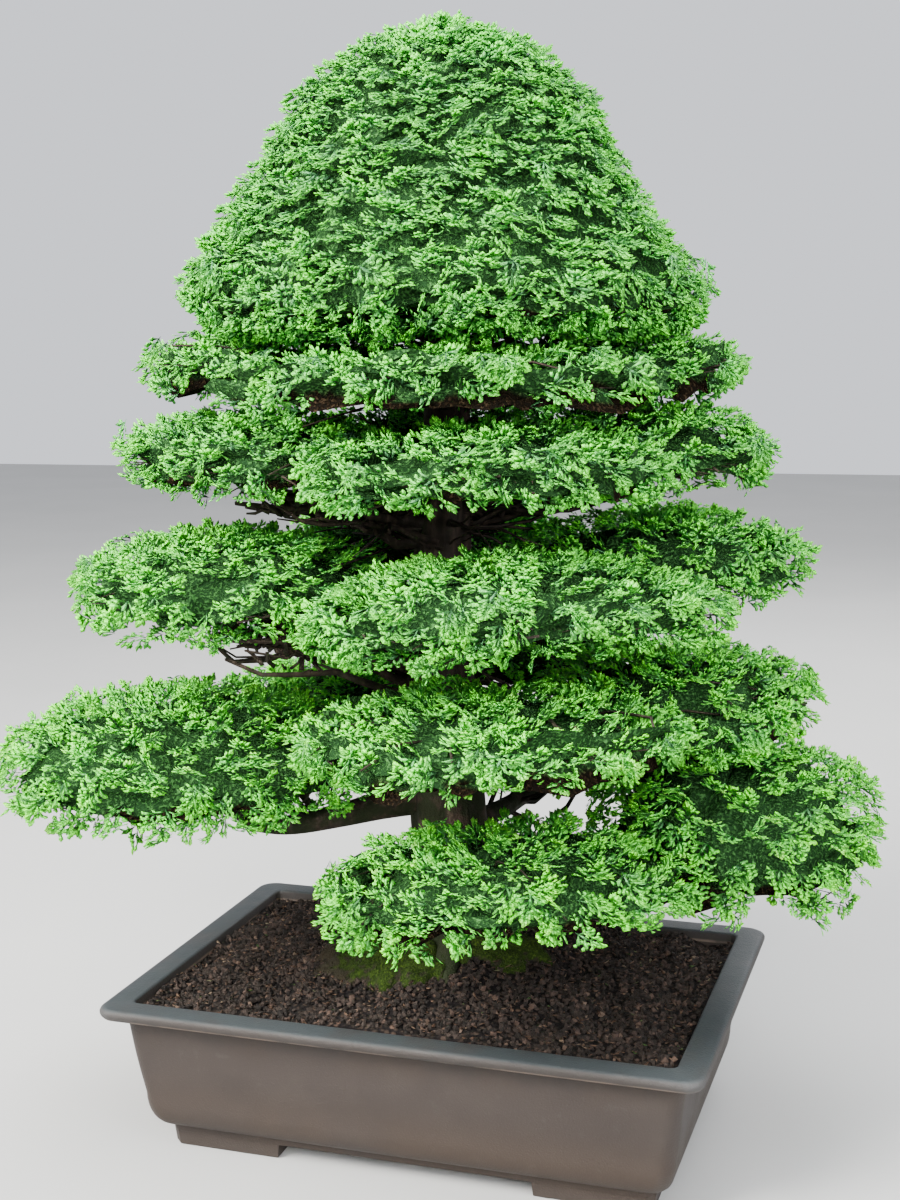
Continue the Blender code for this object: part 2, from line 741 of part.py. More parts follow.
def make_pad(pad, template, collection, materials, random):
    """One cloud of foliage: a flat-bottomed dome in lobed shelves, with loose sprays all over it."""
    shape, faces = template

    def place(turn, share, level, inset):
        return bend_clear(pad_point(pad, turn, share, level, inset)[None, :], pad, 0.6)[0]

    mean_reach = ((pad.outer - pad.inner) / 2 + pad.half_width) / 2
    lobes = round(2 * math.pi * mean_reach / LOBE_WIDTH)
    rings = []
    for index, (share, level) in enumerate(PAD_SHELVES):
        phase = 0.5 * index
        behind = share - SHELF_RECESS if index else UNDERSIDE_SHARE
        recess_level = level - SHELF_UNDERCUT if index else UNDERSIDE_LEVEL
        rings.append(plain_ring(place, lobes, behind, recess_level, phase))
        rings.append(lobed_ring(place, lobes, share, level, phase, random))
    height = pad.high - pad.low
    core = loft(pad.name, rings, collection, 0.08 * height, 0.12 * height)

    half_length = (pad.outer - pad.inner) / 2
    count = round(math.pi * half_length * pad.half_width / FAN_SPACING**2)
    start_turn = random.uniform(0, 6.28)
    middle = place(0.0, 0.0, 0.5, 0.0)
    sprays = []
    for k in range(count):
        share = SPRAY_REACH * math.sqrt((k + 0.5) / count)
        turn = start_turn + k * GOLDEN_ANGLE
        root = place(turn, share, dome_height(share) - 0.05, 0.0)
        outward = (root - middle) * np.array([1.0, 1.0, 0.0])
        lift = 0.20 - 0.60 * share**3 + random.uniform(-0.05, 0.05)
        points = spray(shape, root, unit(outward), lift, random)
        sprays.append(bend_clear(points, pad, random.uniform(0.1, 1.0)))
    return join_sprays(core, sprays, faces, collection, materials)


def crown_radius(z):
    return float(np.interp(z, [z for z, _ in CROWN], [radius for _, radius in CROWN]))


def crown_point(turn, z, inset):
    """A point of the crown, inside its clipped outline by inset."""
    radius = max(crown_radius(z) - inset, 0.004)
    x = CROWN_CENTRE[0] + radius * math.cos(turn)
    y = CROWN_CENTRE[1] + radius * math.sin(turn)
    return np.array([x, y, z])


def crown_ring(shelf, offset, rise, tip_inset, notch_inset, random):
    """A ring of the crown's core at a shelf: every second point is a tip, and the shelves sway a little."""
    low, high = CROWN[0][0], CROWN[-1][0]
    ring = []
    for step in range(2 * CROWN_LOBES):
        tip = step % 2 == 0
        turn = math.pi * (step + 0.5 * shelf + offset) / CROWN_LOBES
        level = (shelf + rise + (-CROWN_TIP_DROP if tip else CROWN_NOTCH_LIFT)) / CROWN_SHELVES
        sway = CROWN_SWAY * math.sin(2 * turn + 9 * level) * (1 - level)
        z = min(max(low + (high - low) * level + sway, low), high)
        inset = (tip_inset if tip else notch_inset) + random.uniform(-0.001, 0.004)
        ring.append(crown_point(turn, z, inset * min(1.0, 3 * (1.02 - level))))
    return np.array(ring)


def crown_sprays(template, random):
    """Rows of sprays that hang like shingles round the crown, and a tuft that stands up at its tip."""
    low, high = CROWN[0][0], CROWN[-1][0]
    rows = [(row + 0.5) / CROWN_SPRAY_ROWS for row in range(CROWN_SPRAY_ROWS)]
    for row, share in enumerate(rows):
        z = low + (high - low) * share
        count = max(5, round(2 * math.pi * crown_radius(z) / (1.5 * FAN_SPACING)))
        for k in range(count):
            turn = 2 * math.pi * (k + 0.5 * (row % 2)) / count + random.uniform(-0.12, 0.12)
            root = crown_point(turn, z + random.uniform(-0.012, 0.012), NOTCH_DEPTH)
            outward = np.array([math.cos(turn), math.sin(turn), 0.0])
            points = spray(template, root, outward, -0.70 + 0.8 * share**4, random)
            along = (points - np.array([*CROWN_CENTRE, 0.0])) @ outward
            limit = crown_radius(max(z - 0.020, low + 0.010)) + random.uniform(-0.002, 0.002)
            yield points - outward * max(0.0, float(along.max()) - limit)
    for k in range(TIP_SPRAYS):
        turn = 2 * math.pi * (k + 0.3) / TIP_SPRAYS
        outward = np.array([math.cos(turn), math.sin(turn), 0.0])
        root = crown_point(turn, high - 0.028, 0.9 * crown_radius(high - 0.028))
        yield spray(template, root, outward, 0.55, random)


def make_crown(template, collection, materials, random):
    """The clipped head of the tree: shelf over shelf of hanging lobes, with loose sprays standing out."""
    shape, faces = template
    low, high = CROWN[0][0], CROWN[-1][0]
    turns = [math.pi * step / CROWN_LOBES for step in range(2 * CROWN_LOBES)]
    rings = [np.array([crown_point(turn, low + 0.012, CROWN_UNDERSIDE_INSET) for turn in turns])]
    for shelf in range(CROWN_SHELVES):
        rings.append(crown_ring(shelf, 0.0, 0.10, 0.0, NOTCH_DEPTH, random))
        rings.append(crown_ring(shelf, 0.25, 0.88, NOTCH_DEPTH, NOTCH_DEPTH, random))
    core = loft("crown", rings, collection, 0.006, 0.004)
    sprays = []
    for points in crown_sprays(shape, random):
        jitter = random.uniform(0.1, 1.0)
        points[:, 2] = moved_within(points[:, 2], low + 0.003 * jitter, high - 0.002 * jitter)
        sprays.append(points)
    return join_sprays(core, sprays, faces, collection, materials)


def make_tree(collection, materials):
    """Wood first, then the foliage, each trimmed clear of the wood by a swollen copy of it."""
    wood = make_wood("trunk_and_limbs", collection)
    wood.data.materials.append(materials["bark"])
    random = np.random.default_rng(SEED)
    template = fan_template()
    foliage = [make_pad(pad, template, collection, materials, random) for pad in PADS]
    foliage.append(make_crown(template, collection, materials, random))
    return foliage


def main():
    clear_scene()
    materials = make_materials()
    bonsai = new_collection("hinoki_cypress_bonsai")
    make_pot(bonsai, materials)
    make_screens(bonsai, materials)
    soil = make_soil(bonsai, materials)
    moss = make_moss(bonsai, materials)
    foliage = make_tree(bonsai, materials)

    raised_soil = object_of("raised_soil", soil.data.copy(), bonsai)
    raised_soil.data.transform(Matrix.Translation((0.0, 0.0, 2 * GAP)))
    combine(moss, [raised_soil], "DIFFERENCE")
    clearance = make_wood("clearance", bonsai, swell=1.5 * GAP)
    for piece in [soil, moss, *foliage]:
        combine(piece, [object_of("cutter", clearance.data.copy(), bonsai)], "DIFFERENCE")
    bpy.data.objects.remove(clearance)


main()
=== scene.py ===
# %% [markdown]
# # A hinoki cypress bonsai in its pot
#
# A hinoki is a conifer with flat, fan-shaped sprays of tiny scale leaves. This one is grown as a broad cone:
# a clipped crown over five tiers of foliage pads, on one trunk in a low unglazed clay pot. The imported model
# gives the plain form of every piece, and this file gives each its real surface. Sizes are in metres unless a
# comment says millimetres. +Z is up, the pot's long side lies along X and the tree's front looks towards -Y.

import math
from collections import namedtuple

import bpy
import numpy as np
from mathutils import Euler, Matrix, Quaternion


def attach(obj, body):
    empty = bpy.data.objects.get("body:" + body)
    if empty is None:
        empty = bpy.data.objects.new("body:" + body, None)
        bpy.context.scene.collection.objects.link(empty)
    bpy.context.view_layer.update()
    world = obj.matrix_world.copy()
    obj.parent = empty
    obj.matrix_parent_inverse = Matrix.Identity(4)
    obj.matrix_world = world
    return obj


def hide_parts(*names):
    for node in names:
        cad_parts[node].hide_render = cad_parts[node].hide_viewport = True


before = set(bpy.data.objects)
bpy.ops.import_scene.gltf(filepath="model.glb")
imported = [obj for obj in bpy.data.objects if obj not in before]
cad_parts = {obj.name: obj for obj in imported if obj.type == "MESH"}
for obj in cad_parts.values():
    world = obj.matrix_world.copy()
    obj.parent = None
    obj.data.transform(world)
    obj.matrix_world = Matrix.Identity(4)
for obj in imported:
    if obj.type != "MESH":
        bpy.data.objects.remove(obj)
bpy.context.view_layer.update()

# %% [markdown]
# ## A piece from arrays
#
# Every new piece is worked out as whole numpy arrays: points, faces, and values for each point that its
# finish reads, such as how near a leaf is to its tip. `foreach_set` copies an array into a mesh in one go,
# which is what makes hundreds of thousands of leaves quick.

# %% Turn arrays into a piece
def placed(name, data):
    """A new object in the scene that shows a mesh, a light or a camera."""
    obj = bpy.data.objects.new(name, data)
    bpy.context.scene.collection.objects.link(obj)
    return obj


def piece(name, points, faces, finish, smooth=True, **values):
    """A mesh object from points (n, 3) and faces (m, 3 or 4), with one named value for each point."""
    mesh = bpy.data.meshes.new(name)
    count, corners = faces.shape
    mesh.vertices.add(len(points))
    mesh.vertices.foreach_set("co", np.ascontiguousarray(points, dtype=np.float32).ravel())
    mesh.loops.add(count * corners)
    mesh.loops.foreach_set("vertex_index", np.ascontiguousarray(faces, dtype=np.int32).ravel())
    mesh.polygons.add(count)
    mesh.polygons.foreach_set("loop_start", np.arange(count, dtype=np.int32) * corners)
    mesh.polygons.foreach_set("use_smooth", np.full(count, smooth))
    for value_name, numbers in values.items():
        attribute = mesh.attributes.new(value_name, "FLOAT", "POINT")
        attribute.data.foreach_set("value", np.asarray(numbers, dtype=np.float32))
    mesh.update(calc_edges=True)
    mesh.materials.append(finish)
    obj = placed(name, mesh)
    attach(obj, "root")
    return obj


def ring_faces(rings, around):
    """Quads between neighbouring rings of a closed tube whose points are stored ring after ring."""
    ring, step = np.meshgrid(np.arange(rings - 1), np.arange(around), indexing="ij")
    here = ring * around + step
    beside = ring * around + (step + 1) % around
    return np.stack([here, beside, beside + around, here + around], axis=-1).reshape(-1, 4)


def halved(quads):
    """Each quad as two triangles."""
    return np.vstack([quads[:, [0, 1, 2]], quads[:, [0, 2, 3]]])


def gathered(parts):
    """Several sets of (points, faces, values for each point) as one set."""
    points, faces, *values = zip(*parts)
    starts = np.cumsum([0] + [len(some) for some in points])
    faces = np.vstack([some + start for some, start in zip(faces, starts)])
    return np.vstack(points), faces, *(np.concatenate(some) for some in values)


def repeated(template_points, template_faces, roots, frames, sizes):
    """Copies of a small shape: point = root + size * (template in the copy's own three directions)."""
    points = roots[:, None, :] + sizes[:, None, None] * np.einsum("pk,nkc->npc", template_points, frames)
    offsets = np.arange(len(roots))[:, None, None] * len(template_points)
    faces = template_faces[None, :, :] + offsets
    return points.reshape(-1, 3), faces.reshape(-1, template_faces.shape[1])


def unit(vectors):
    """Vectors of length one along the last axis."""
    return vectors / np.maximum(np.linalg.norm(vectors, axis=-1, keepdims=True), 1e-9)


def full_turn(count):
    """Equal steps once round, in radians."""
    return np.linspace(0, 2 * np.pi, count, endpoint=False)


def distances(line):
    """How far along a line each of its points lies."""
    return np.append(0, np.cumsum(np.linalg.norm(np.diff(line, axis=0), axis=1)))


def with_column(rows, value):
    """Rows with one more column, which is one value for all or one each."""
    return np.column_stack([rows, np.broadcast_to(value, len(rows))])


def graph(*stations):
    """A function made of straight lines through its (place, value) stations."""
    places, values = zip(*stations)
    return lambda place: np.interp(place, places, values)


print("helpers for pieces, faces, copies, lines and graphs ready")

# %% [markdown]
# ## Finishes as sums
#
# A material is a net of nodes, and written node by node it hides what it means. So a wire between two nodes
# is wrapped in a small class that knows arithmetic: `1 - worn * 0.5` adds the Math nodes it needs. All other
# nodes go through one method, `node`, which takes the node's type, its settings and its sockets.

# %% A wire that knows arithmetic
class Wire:
    """A value that runs between two nodes of a finish."""

    def __init__(self, finish, socket):
        self.finish = finish
        self.socket = socket

    def worked(self, operation, first, second):
        return self.finish.node("ShaderNodeMath", {"operation": operation}, {0: first, 1: second})

    def __add__(self, other):
        return self.worked("ADD", self, other)

    def __rsub__(self, other):
        return self.worked("SUBTRACT", other, self)

    def __mul__(self, other):
        return self.worked("MULTIPLY", self, other)


class Finish:
    """A material being made: its shader, and one method that adds any node."""

    def __init__(self, name, **constants):
        self.material = bpy.data.materials.new(name)
        self.material.use_nodes = True
        self.tree = self.material.node_tree
        self.shader = self.tree.nodes["Principled BSDF"]
        for socket, value in constants.items():
            self.shader.inputs[socket.replace("_", " ")].default_value = value

    def join(self, socket, value):
        if isinstance(value, Wire):
            self.tree.links.new(value.socket, socket)
        else:
            socket.default_value = value

    def node(self, kind, settings=None, inputs=None, output=0):
        made = self.tree.nodes.new(kind)
        for name, value in (settings or {}).items():
            if name == "stops":
                self.set_stops(made.color_ramp, value)
            else:
                setattr(made, name, value)
        for socket, value in (inputs or {}).items():
            self.join(made.inputs[socket], value)
        return Wire(self, made.outputs[output])

    def set_stops(self, ramp, stops):
        while len(ramp.elements) < len(stops):
            ramp.elements.new(1.0)
        for element, (position, colour) in zip(ramp.elements, stops):
            element.position = position
            element.color = (*colour, 1.0)

    def place(self):
        return self.node("ShaderNodeTexCoord", output="Object")

    def height(self):
        return self.node("ShaderNodeSeparateXYZ", None, {0: self.place()}, "Z")

    def value_of(self, name):
        return self.node("ShaderNodeAttribute", {"attribute_name": name}, output="Fac")

    def noise(self, scale, detail=4.0, stretch=None):
        """Cloudy values round one half, scale cells to the metre, drawn out along an axis by stretch."""
        where = self.place()
        if stretch:
            where = self.node("ShaderNodeMapping", None, {"Vector": where, "Scale": stretch})
        inputs = {"Vector": where, "Scale": scale, "Detail": detail}
        return self.node("ShaderNodeTexNoise", None, inputs)

    def cells(self, scale, output=0):
        """Scattered points, scale to the metre: how far the nearest lies, or with output 1 its colour."""
        return self.node("ShaderNodeTexVoronoi", None, {"Vector": self.place(), "Scale": scale}, output)

    def ramp(self, value, *stops):
        return self.node("ShaderNodeValToRGB", {"stops": stops}, {0: value})

    def between(self, value, low, high):
        """0 below low, 1 above high, and a soft step from one to the other."""
        settings = {"interpolation_type": "SMOOTHSTEP"}
        return self.node("ShaderNodeMapRange", settings, {"Value": value, "From Min": low, "From Max": high})

    def below(self, value, low, high):
        """The same step the other way: 1 below low, 0 above high."""
        return 1 - self.between(value, low, high)

    def mixed(self, share, first, second):
        """The first colour, going over to the second by share."""
        colours = [v if isinstance(v, Wire) else (*v, 1.0) for v in (first, second)]
        return self.node("ShaderNodeMix", {"data_type": "RGBA"}, {0: share, 6: colours[0], 7: colours[1]}, 2)

    def raised(self, height, distance):
        """A Bump node: height 0 to 1 stands for distance in metres."""
        return self.node("ShaderNodeBump", None, {"Distance": distance, "Height": height})

    def dressed(self, **wires):
        for socket, value in wires.items():
            self.join(self.shader.inputs[socket.replace("_", " ")], value)
        return self.material


print("finishes ready")

# %% [markdown]
# ## The clay
#
# The pot is unglazed stoneware: grey-brown and matt, a little warmer under the lip and down at the base, with
# pale worn edges and faint mineral bloom. The top of the rim is painted lighter and blue-grey as sky light on
# it.
# Height and noise guide the finish, because the marks follow how high on the pot they are: water runs down,
# hands hold the lip.

# %% Clay finish
POT_HEIGHT = 0.121
LIP_BASE = 0.112


def clay_finish():
    clay = Finish("unglazed_clay", Roughness=0.62, Specular_IOR_Level=0.30)
    height = clay.height()
    broad = clay.noise(9.0, 3.0)
    cloudy = clay.noise(38.0, 5.0)
    streaks = clay.noise(26.0, 4.0, (1.0, 1.0, 0.16))
    speckle = clay.noise(900.0, 2.0)
    grains = clay.cells(620.0)
    body = clay.ramp(cloudy, (0.25, (0.021, 0.0155, 0.013)), (0.52, (0.025, 0.0185, 0.0155)),
                     (0.80, (0.030, 0.023, 0.019)))
    warm = clay.between(height, 0.078, 0.108) * clay.between(streaks, 0.40, 0.66) * 0.6
    warm = warm + clay.below(height, 0.030, 0.072) * clay.between(broad, 0.25, 0.60)
    body = clay.mixed(warm * 0.55, body, (0.030, 0.019, 0.012))
    lip = clay.between(height, LIP_BASE - 0.0010, LIP_BASE + 0.0010)
    body = clay.mixed(lip * 0.80, body, (0.022, 0.018, 0.016))
    # Painted sky light: the rim's top face is painted lighter and blue-grey, for the light it catches from
    # above.
    sky_lit_rim_top = clay.between(height, POT_HEIGHT - 0.0022, POT_HEIGHT - 0.0004)
    sky_lit_rim_top = sky_lit_rim_top * (clay.between(cloudy, 0.25, 0.60) * 0.5 + 0.5)
    body = clay.mixed(sky_lit_rim_top * 0.90, body, (0.022, 0.028, 0.031))
    worn = clay.between(height, LIP_BASE - 0.0003, LIP_BASE + 0.0006)
    worn = worn * clay.below(height, LIP_BASE + 0.0010, LIP_BASE + 0.0028)
    body = clay.mixed(worn * clay.between(cloudy, 0.36, 0.62), body, (0.125, 0.088, 0.068))
    edge = clay.node("ShaderNodeNewGeometry", output="Pointiness")
    edge = clay.between(edge, 0.515, 0.560) * clay.between(height, 0.018, 0.030)
    body = clay.mixed(edge * 0.35, body, (0.080, 0.084, 0.086))
    bloom = clay.between(clay.noise(120.0, 6.0), 0.60, 0.74) * clay.between(broad, 0.48, 0.70)
    body = clay.mixed(bloom * 0.12, body, (0.090, 0.084, 0.076))
    dark_foot = clay.below(height, 0.004, 0.014)
    body = clay.mixed(dark_foot * 0.45, body, (0.026, 0.021, 0.018))
    roughness = cloudy * 0.25 + 0.50
    relief = grains * 0.25 + speckle * 0.5 + cloudy * 0.6
    return clay.dressed(Base_Color=body, Roughness=roughness, Normal=clay.raised(relief, 0.0006))


clay = clay_finish()
print("made", clay.name)

# %% [markdown]
# ## The pot
#
# The pot has an overhanging lip, walls that lean in, a curved foot, a plinth and four corner feet. It is one
# profile carried round one plan: the plan is a rectangle with round corners, and the profile says how far in
# and how high each turn of it lies. Each turn has its own corner radius, so the lip can be crisp and the bowl
# soft.

# %% Pot plan and profile
POT_LENGTH = 0.460
POT_DEPTH = 0.314
LIP_WIDTH = 0.022
LIP_CORNER = 0.014
WALL_TOP_INSET = 0.0155
WALL_FOOT_INSET = 0.0240
WALL_THICKNESS = 0.0105
WALL_CORNER = 0.013
INNER_CORNER = 0.006
PLINTH_CORNER = 0.012
PLINTH_INSET = 0.0395
PLINTH_BASE = 0.0115
LEDGE_WIDTH = 0.004
BODY_BASE = 0.0195
FOOT_CURVE_HEIGHT = 0.026
FLOOR_TOP = 0.031
INNER_FOOT_INSET = WALL_FOOT_INSET + WALL_THICKNESS
WALL_FOOT = BODY_BASE + FOOT_CURVE_HEIGHT
POT_CORNER_STEPS = 10
POT_SIDE_STEPS = 14


def rounded_plan(inset, corner, corner_steps, side_steps):
    """The pot's plan drawn in by inset: four corner arcs joined by straight sides, counter-clockwise."""
    half = np.array([POT_LENGTH / 2 - inset, POT_DEPTH / 2 - inset])
    signs = np.array([[1, 1], [-1, 1], [-1, -1], [1, -1]])
    centres = signs * (half - corner)
    turns = np.pi / 2 * (np.arange(4)[:, None] + np.linspace(0, 1, corner_steps)[None, :])
    arcs = centres[:, None, :] + corner * np.stack([np.cos(turns), np.sin(turns)], axis=-1)
    shares = (np.arange(1, side_steps + 1) / (side_steps + 1))[None, :, None]
    ends = arcs[:, -1:, :]
    starts = np.roll(arcs[:, :1, :], -1, axis=0)
    return np.concatenate([arcs, ends + (starts - ends) * shares], axis=1).reshape(-1, 2)


def pot_profile():
    """(inset, height, corner radius) from under the plinth, up the wall, over the lip, down to the floor."""
    curve_width = PLINTH_INSET - LEDGE_WIDTH - WALL_FOOT_INSET
    angles = np.radians(np.linspace(0, 90, 9))
    curve = np.column_stack([
        WALL_FOOT_INSET + curve_width * (1 - np.sin(angles)),
        BODY_BASE + FOOT_CURVE_HEIGHT * (1 - np.cos(angles)),
    ])
    heights = np.linspace(WALL_FOOT, LIP_BASE - 0.0020, 9)[1:]
    share = (heights - WALL_FOOT) / (heights[-1] - WALL_FOOT)
    hollow = 0.0006 * np.sin(np.pi * share)
    insets = WALL_FOOT_INSET + (WALL_TOP_INSET - WALL_FOOT_INSET) * share - hollow
    bowl = np.vstack([curve, np.column_stack([insets, heights])])
    under = [
        (PLINTH_INSET + 0.0100, PLINTH_BASE, PLINTH_CORNER),
        (PLINTH_INSET + 0.0010, PLINTH_BASE, PLINTH_CORNER),
        (PLINTH_INSET + 0.0003, PLINTH_BASE + 0.0004, PLINTH_CORNER),
        (PLINTH_INSET, PLINTH_BASE + 0.0015, PLINTH_CORNER),
        (PLINTH_INSET, BODY_BASE - 0.0006, PLINTH_CORNER),
        (PLINTH_INSET - 0.0006, BODY_BASE, PLINTH_CORNER),
    ]
    lip = [
        (WALL_TOP_INSET - 0.0006, LIP_BASE - 0.0006, WALL_CORNER),
        (WALL_TOP_INSET - 0.0020, LIP_BASE, WALL_CORNER),
        (0.0036, LIP_BASE + 0.0002, LIP_CORNER - 0.002),
        (0.0020, LIP_BASE + 0.0006, LIP_CORNER - 0.001),
        (0.0006, LIP_BASE + 0.0022, LIP_CORNER),
        (0.0000, LIP_BASE + 0.0040, LIP_CORNER),
        (0.0000, POT_HEIGHT - 0.0032, LIP_CORNER),
        (0.0008, POT_HEIGHT - 0.0014, LIP_CORNER),
        (0.0022, POT_HEIGHT - 0.0004, LIP_CORNER),
        (0.0045, POT_HEIGHT, LIP_CORNER - 0.002),
        (LIP_WIDTH - 0.0024, POT_HEIGHT, INNER_CORNER),
        (LIP_WIDTH - 0.0008, POT_HEIGHT - 0.0004, INNER_CORNER),
        (LIP_WIDTH, POT_HEIGHT - 0.0018, INNER_CORNER),
        (LIP_WIDTH + 0.0010, LIP_BASE, INNER_CORNER),
        (INNER_FOOT_INSET, WALL_FOOT, INNER_CORNER),
        (INNER_FOOT_INSET + 0.0055, FLOOR_TOP + 0.006, INNER_CORNER),
        (INNER_FOOT_INSET + 0.0125, FLOOR_TOP, INNER_CORNER),
    ]
    return np.vstack([under, with_column(bowl, WALL_CORNER), lip])


def lofted(rings, middles=None):
    """One closed surface through rings (r, a, 3), each end closed round its middle or the point given."""
    count, around, _ = rings.shape
    if middles is None:
        middles = rings[[0, -1]].mean(axis=1)
    points = np.vstack([rings.reshape(-1, 3), middles])
    triangles = halved(ring_faces(count, around))
    step = np.arange(around)
    after = (step + 1) % around
    foot = np.column_stack([after, step, np.full(around, count * around)])
    last = (count - 1) * around
    head = np.column_stack([last + step, last + after, np.full(around, count * around + 1)])
    return points, np.vstack([triangles, foot, head])


profile = pot_profile()
print("pot profile:", len(profile), "turns")

# %% [markdown]
# The feet are L-shaped, one under each corner, and taper to flat soles. The two drain holes are cut through
# the floor with a Boolean, the shortest way to put a round hole in a flat plate.

# %% Pot body, feet and drain holes
FOOT_ARM_X = 0.092
FOOT_ARM_Y = 0.070
FOOT_ARM_WIDTH = 0.020
DRAIN_RADIUS = 0.013
DRAIN_SPACING = 0.200
FOOT_CHAMFER = 0.006
FOOT_SHRINKS = ((0.0030, 0.0), (0.0020, 0.0008), (0.0008, PLINTH_BASE + 0.0010))


def foot_ring(shrink, height, signs):
    """The L under one corner, with a chamfer at its outer corner."""
    far = np.array([POT_LENGTH, POT_DEPTH]) / 2 - PLINTH_INSET - shrink
    near = far - np.array([FOOT_ARM_X, FOOT_ARM_Y]) + 2 * shrink
    inner = far - FOOT_ARM_WIDTH + shrink
    outline = np.array([
        (far[0] - FOOT_CHAMFER, far[1]), (near[0], far[1]), (near[0], inner[1]), inner,
        (inner[0], near[1]), (far[0], near[1]), (far[0], far[1] - FOOT_CHAMFER),
    ]) * signs
    return with_column(outline[::signs[0] * signs[1]], height)


def make_pot():
    rings = np.array([
        with_column(rounded_plan(inset, corner, POT_CORNER_STEPS, POT_SIDE_STEPS), height)
        for inset, height, corner in profile
    ])
    pot = piece("clay_pot", *lofted(rings), clay)
    for side in (-1, 1):
        bpy.ops.mesh.primitive_cylinder_add(vertices=48, radius=DRAIN_RADIUS, depth=0.06,
                                            location=(side * DRAIN_SPACING / 2, 0, 0.02))
        cutter = bpy.context.object
        cut = pot.modifiers.new("drain", "BOOLEAN")
        cut.object = cutter
        cut.solver = "EXACT"
        bpy.context.view_layer.objects.active = pot
        bpy.ops.object.modifier_apply(modifier=cut.name)
        bpy.data.objects.remove(cutter)
    pot.data.set_sharp_from_angle(angle=math.radians(50))
    return pot


def make_feet():
    elbow = np.array([POT_LENGTH, POT_DEPTH]) / 2 - PLINTH_INSET - FOOT_ARM_WIDTH / 2
    parts = []
    for signs in ((1, 1), (1, -1), (-1, 1), (-1, -1)):
        rings = np.array([foot_ring(shrink, height, signs) for shrink, height in FOOT_SHRINKS])
        middles = with_column([elbow * signs] * 2, [FOOT_SHRINKS[0][1], FOOT_SHRINKS[-1][1]])
        parts.append(lofted(rings, middles))
    return piece("pot_feet", *gathered(parts), clay, smooth=False)


pot = make_pot()
feet = make_feet()
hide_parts("pot")
print("pot:", len(pot.data.polygons), "faces, feet:", len(feet.data.polygons))

# %% [markdown]
# ## Screens over the drain holes
#
# A square of black plastic mesh keeps the soil in. It only shows from underneath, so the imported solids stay
# and get a finish of their own: dull moulded plastic with soil dust in its hollows.

# %% Screen finish
def screen_finish():
    plastic = Finish("screen_plastic", Roughness=0.55)
    dust = plastic.between(plastic.noise(160.0, 5.0), 0.45, 0.66)
    colour = plastic.mixed(dust, (0.020, 0.020, 0.022), (0.075, 0.052, 0.038))
    relief = plastic.noise(700.0, 2.0)
    roughness = dust * 0.3 + 0.5
    return plastic.dressed(Base_Color=colour, Roughness=roughness, Normal=plastic.raised(relief, 0.0002))


screen = screen_finish()
for name in ("drain_screen_left", "drain_screen_right"):
    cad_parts[name].data.materials.clear()
    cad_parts[name].data.materials.append(screen)
print("screens dressed")

# %% [markdown]
# ## The soil
#
# Bonsai soil is grit: baked clay granules of 3 to 5 mm, dark where wet, under a sprinkling of dead scale
# leaves. The bed is one closed surface, mounded at the trunk. Thousands of loose granules lie on it, because
# at this distance the eye reads each one's own light and shade.

# %% Soil finish
SOIL_EDGE = 0.1130
SOIL_MOUND = 0.034
SOIL_MOUND_REACH = 0.115
PACKED_GRAINS = 235.0


def grit_finish():
    grit = Finish("grit", Roughness=0.92, Specular_IOR_Level=0.20)
    tone = grit.value_of("tone")
    mottled = grit.noise(420.0, 4.0)
    colour = grit.ramp(tone, (0.0, (0.005, 0.004, 0.003)), (0.38, (0.017, 0.012, 0.009)),
                       (0.68, (0.035, 0.024, 0.019)), (0.88, (0.070, 0.042, 0.030)),
                       (1.0, (0.150, 0.105, 0.075)))
    colour = grit.mixed(mottled * 0.35, colour, (0.015, 0.012, 0.012))
    return grit.dressed(Base_Color=colour, Normal=grit.raised(grit.noise(1500.0, 3.0), 0.0006))


def bed_finish():
    """Packed granules between the loose ones: each cell of 4 mm has its own tone and its own round top, with
    painted shade in the cracks between cells.
    """
    bed = Finish("packed_grit", Roughness=0.95, Specular_IOR_Level=0.12)
    near = bed.cells(PACKED_GRAINS)
    tone = bed.cells(PACKED_GRAINS, output=1)
    colour = bed.ramp(tone, (0.10, (0.006, 0.005, 0.004)), (0.45, (0.018, 0.013, 0.010)),
                      (0.75, (0.037, 0.025, 0.019)), (0.95, (0.075, 0.045, 0.032)))
    # Painted shade: the cracks between the packed granules are painted near black.
    colour = bed.mixed(bed.between(near, 0.30, 0.62), colour, (0.004, 0.003, 0.003))
    return bed.dressed(Base_Color=colour, Normal=bed.raised(1 - near, 0.0030))


def soil_height(x, y):
    """The bed's level: a bell round the trunk over a flat edge, with low crossed waves."""
    mound = SOIL_MOUND * np.exp(-(x * x + y * y) / SOIL_MOUND_REACH**2)
    waves = np.sin(97 * x + 41 * y) + np.sin(63 * y - 88 * x + 1.3) + np.sin(151 * x + 2.1)
    return SOIL_EDGE + mound + 0.0016 * waves


grit = grit_finish()
print("soil level at the trunk:", round(float(soil_height(0.0, 0.0)), 4))

# %% Soil bed
SOIL_CLEARANCE = 0.0012
SOIL_RINGS = 34


def bed_plan(inset):
    """The plan of the soil where the pot's inner wall is inset so far."""
    return rounded_plan(inset + SOIL_CLEARANCE, INNER_CORNER, 4, 24)


def make_soil_bed():
    stations = (
        (INNER_FOOT_INSET + 0.0125, FLOOR_TOP + 0.0003), (INNER_FOOT_INSET + 0.0055, FLOOR_TOP + 0.0065),
        (INNER_FOOT_INSET, WALL_FOOT), (LIP_WIDTH + 0.0010, LIP_BASE - 0.004),
    )
    rings = [with_column(bed_plan(inset), height) for inset, height in stations]
    for share in np.linspace(1.0, 0.02, SOIL_RINGS):
        plan = bed_plan(LIP_WIDTH + 0.0010) * share
        rings.append(with_column(plan, soil_height(*plan.T) - SOIL_CLEARANCE))
    points, faces = lofted(np.array(rings))
    random = np.random.default_rng(3)
    top = points[:, 2] > LIP_BASE - 0.002
    points[top, 2] += random.uniform(-0.0009, 0.0009, top.sum())
    return piece("soil_bed", points, faces, bed_finish())


bed = make_soil_bed()
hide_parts("soil")
print("soil bed:", len(bed.data.polygons), "faces")

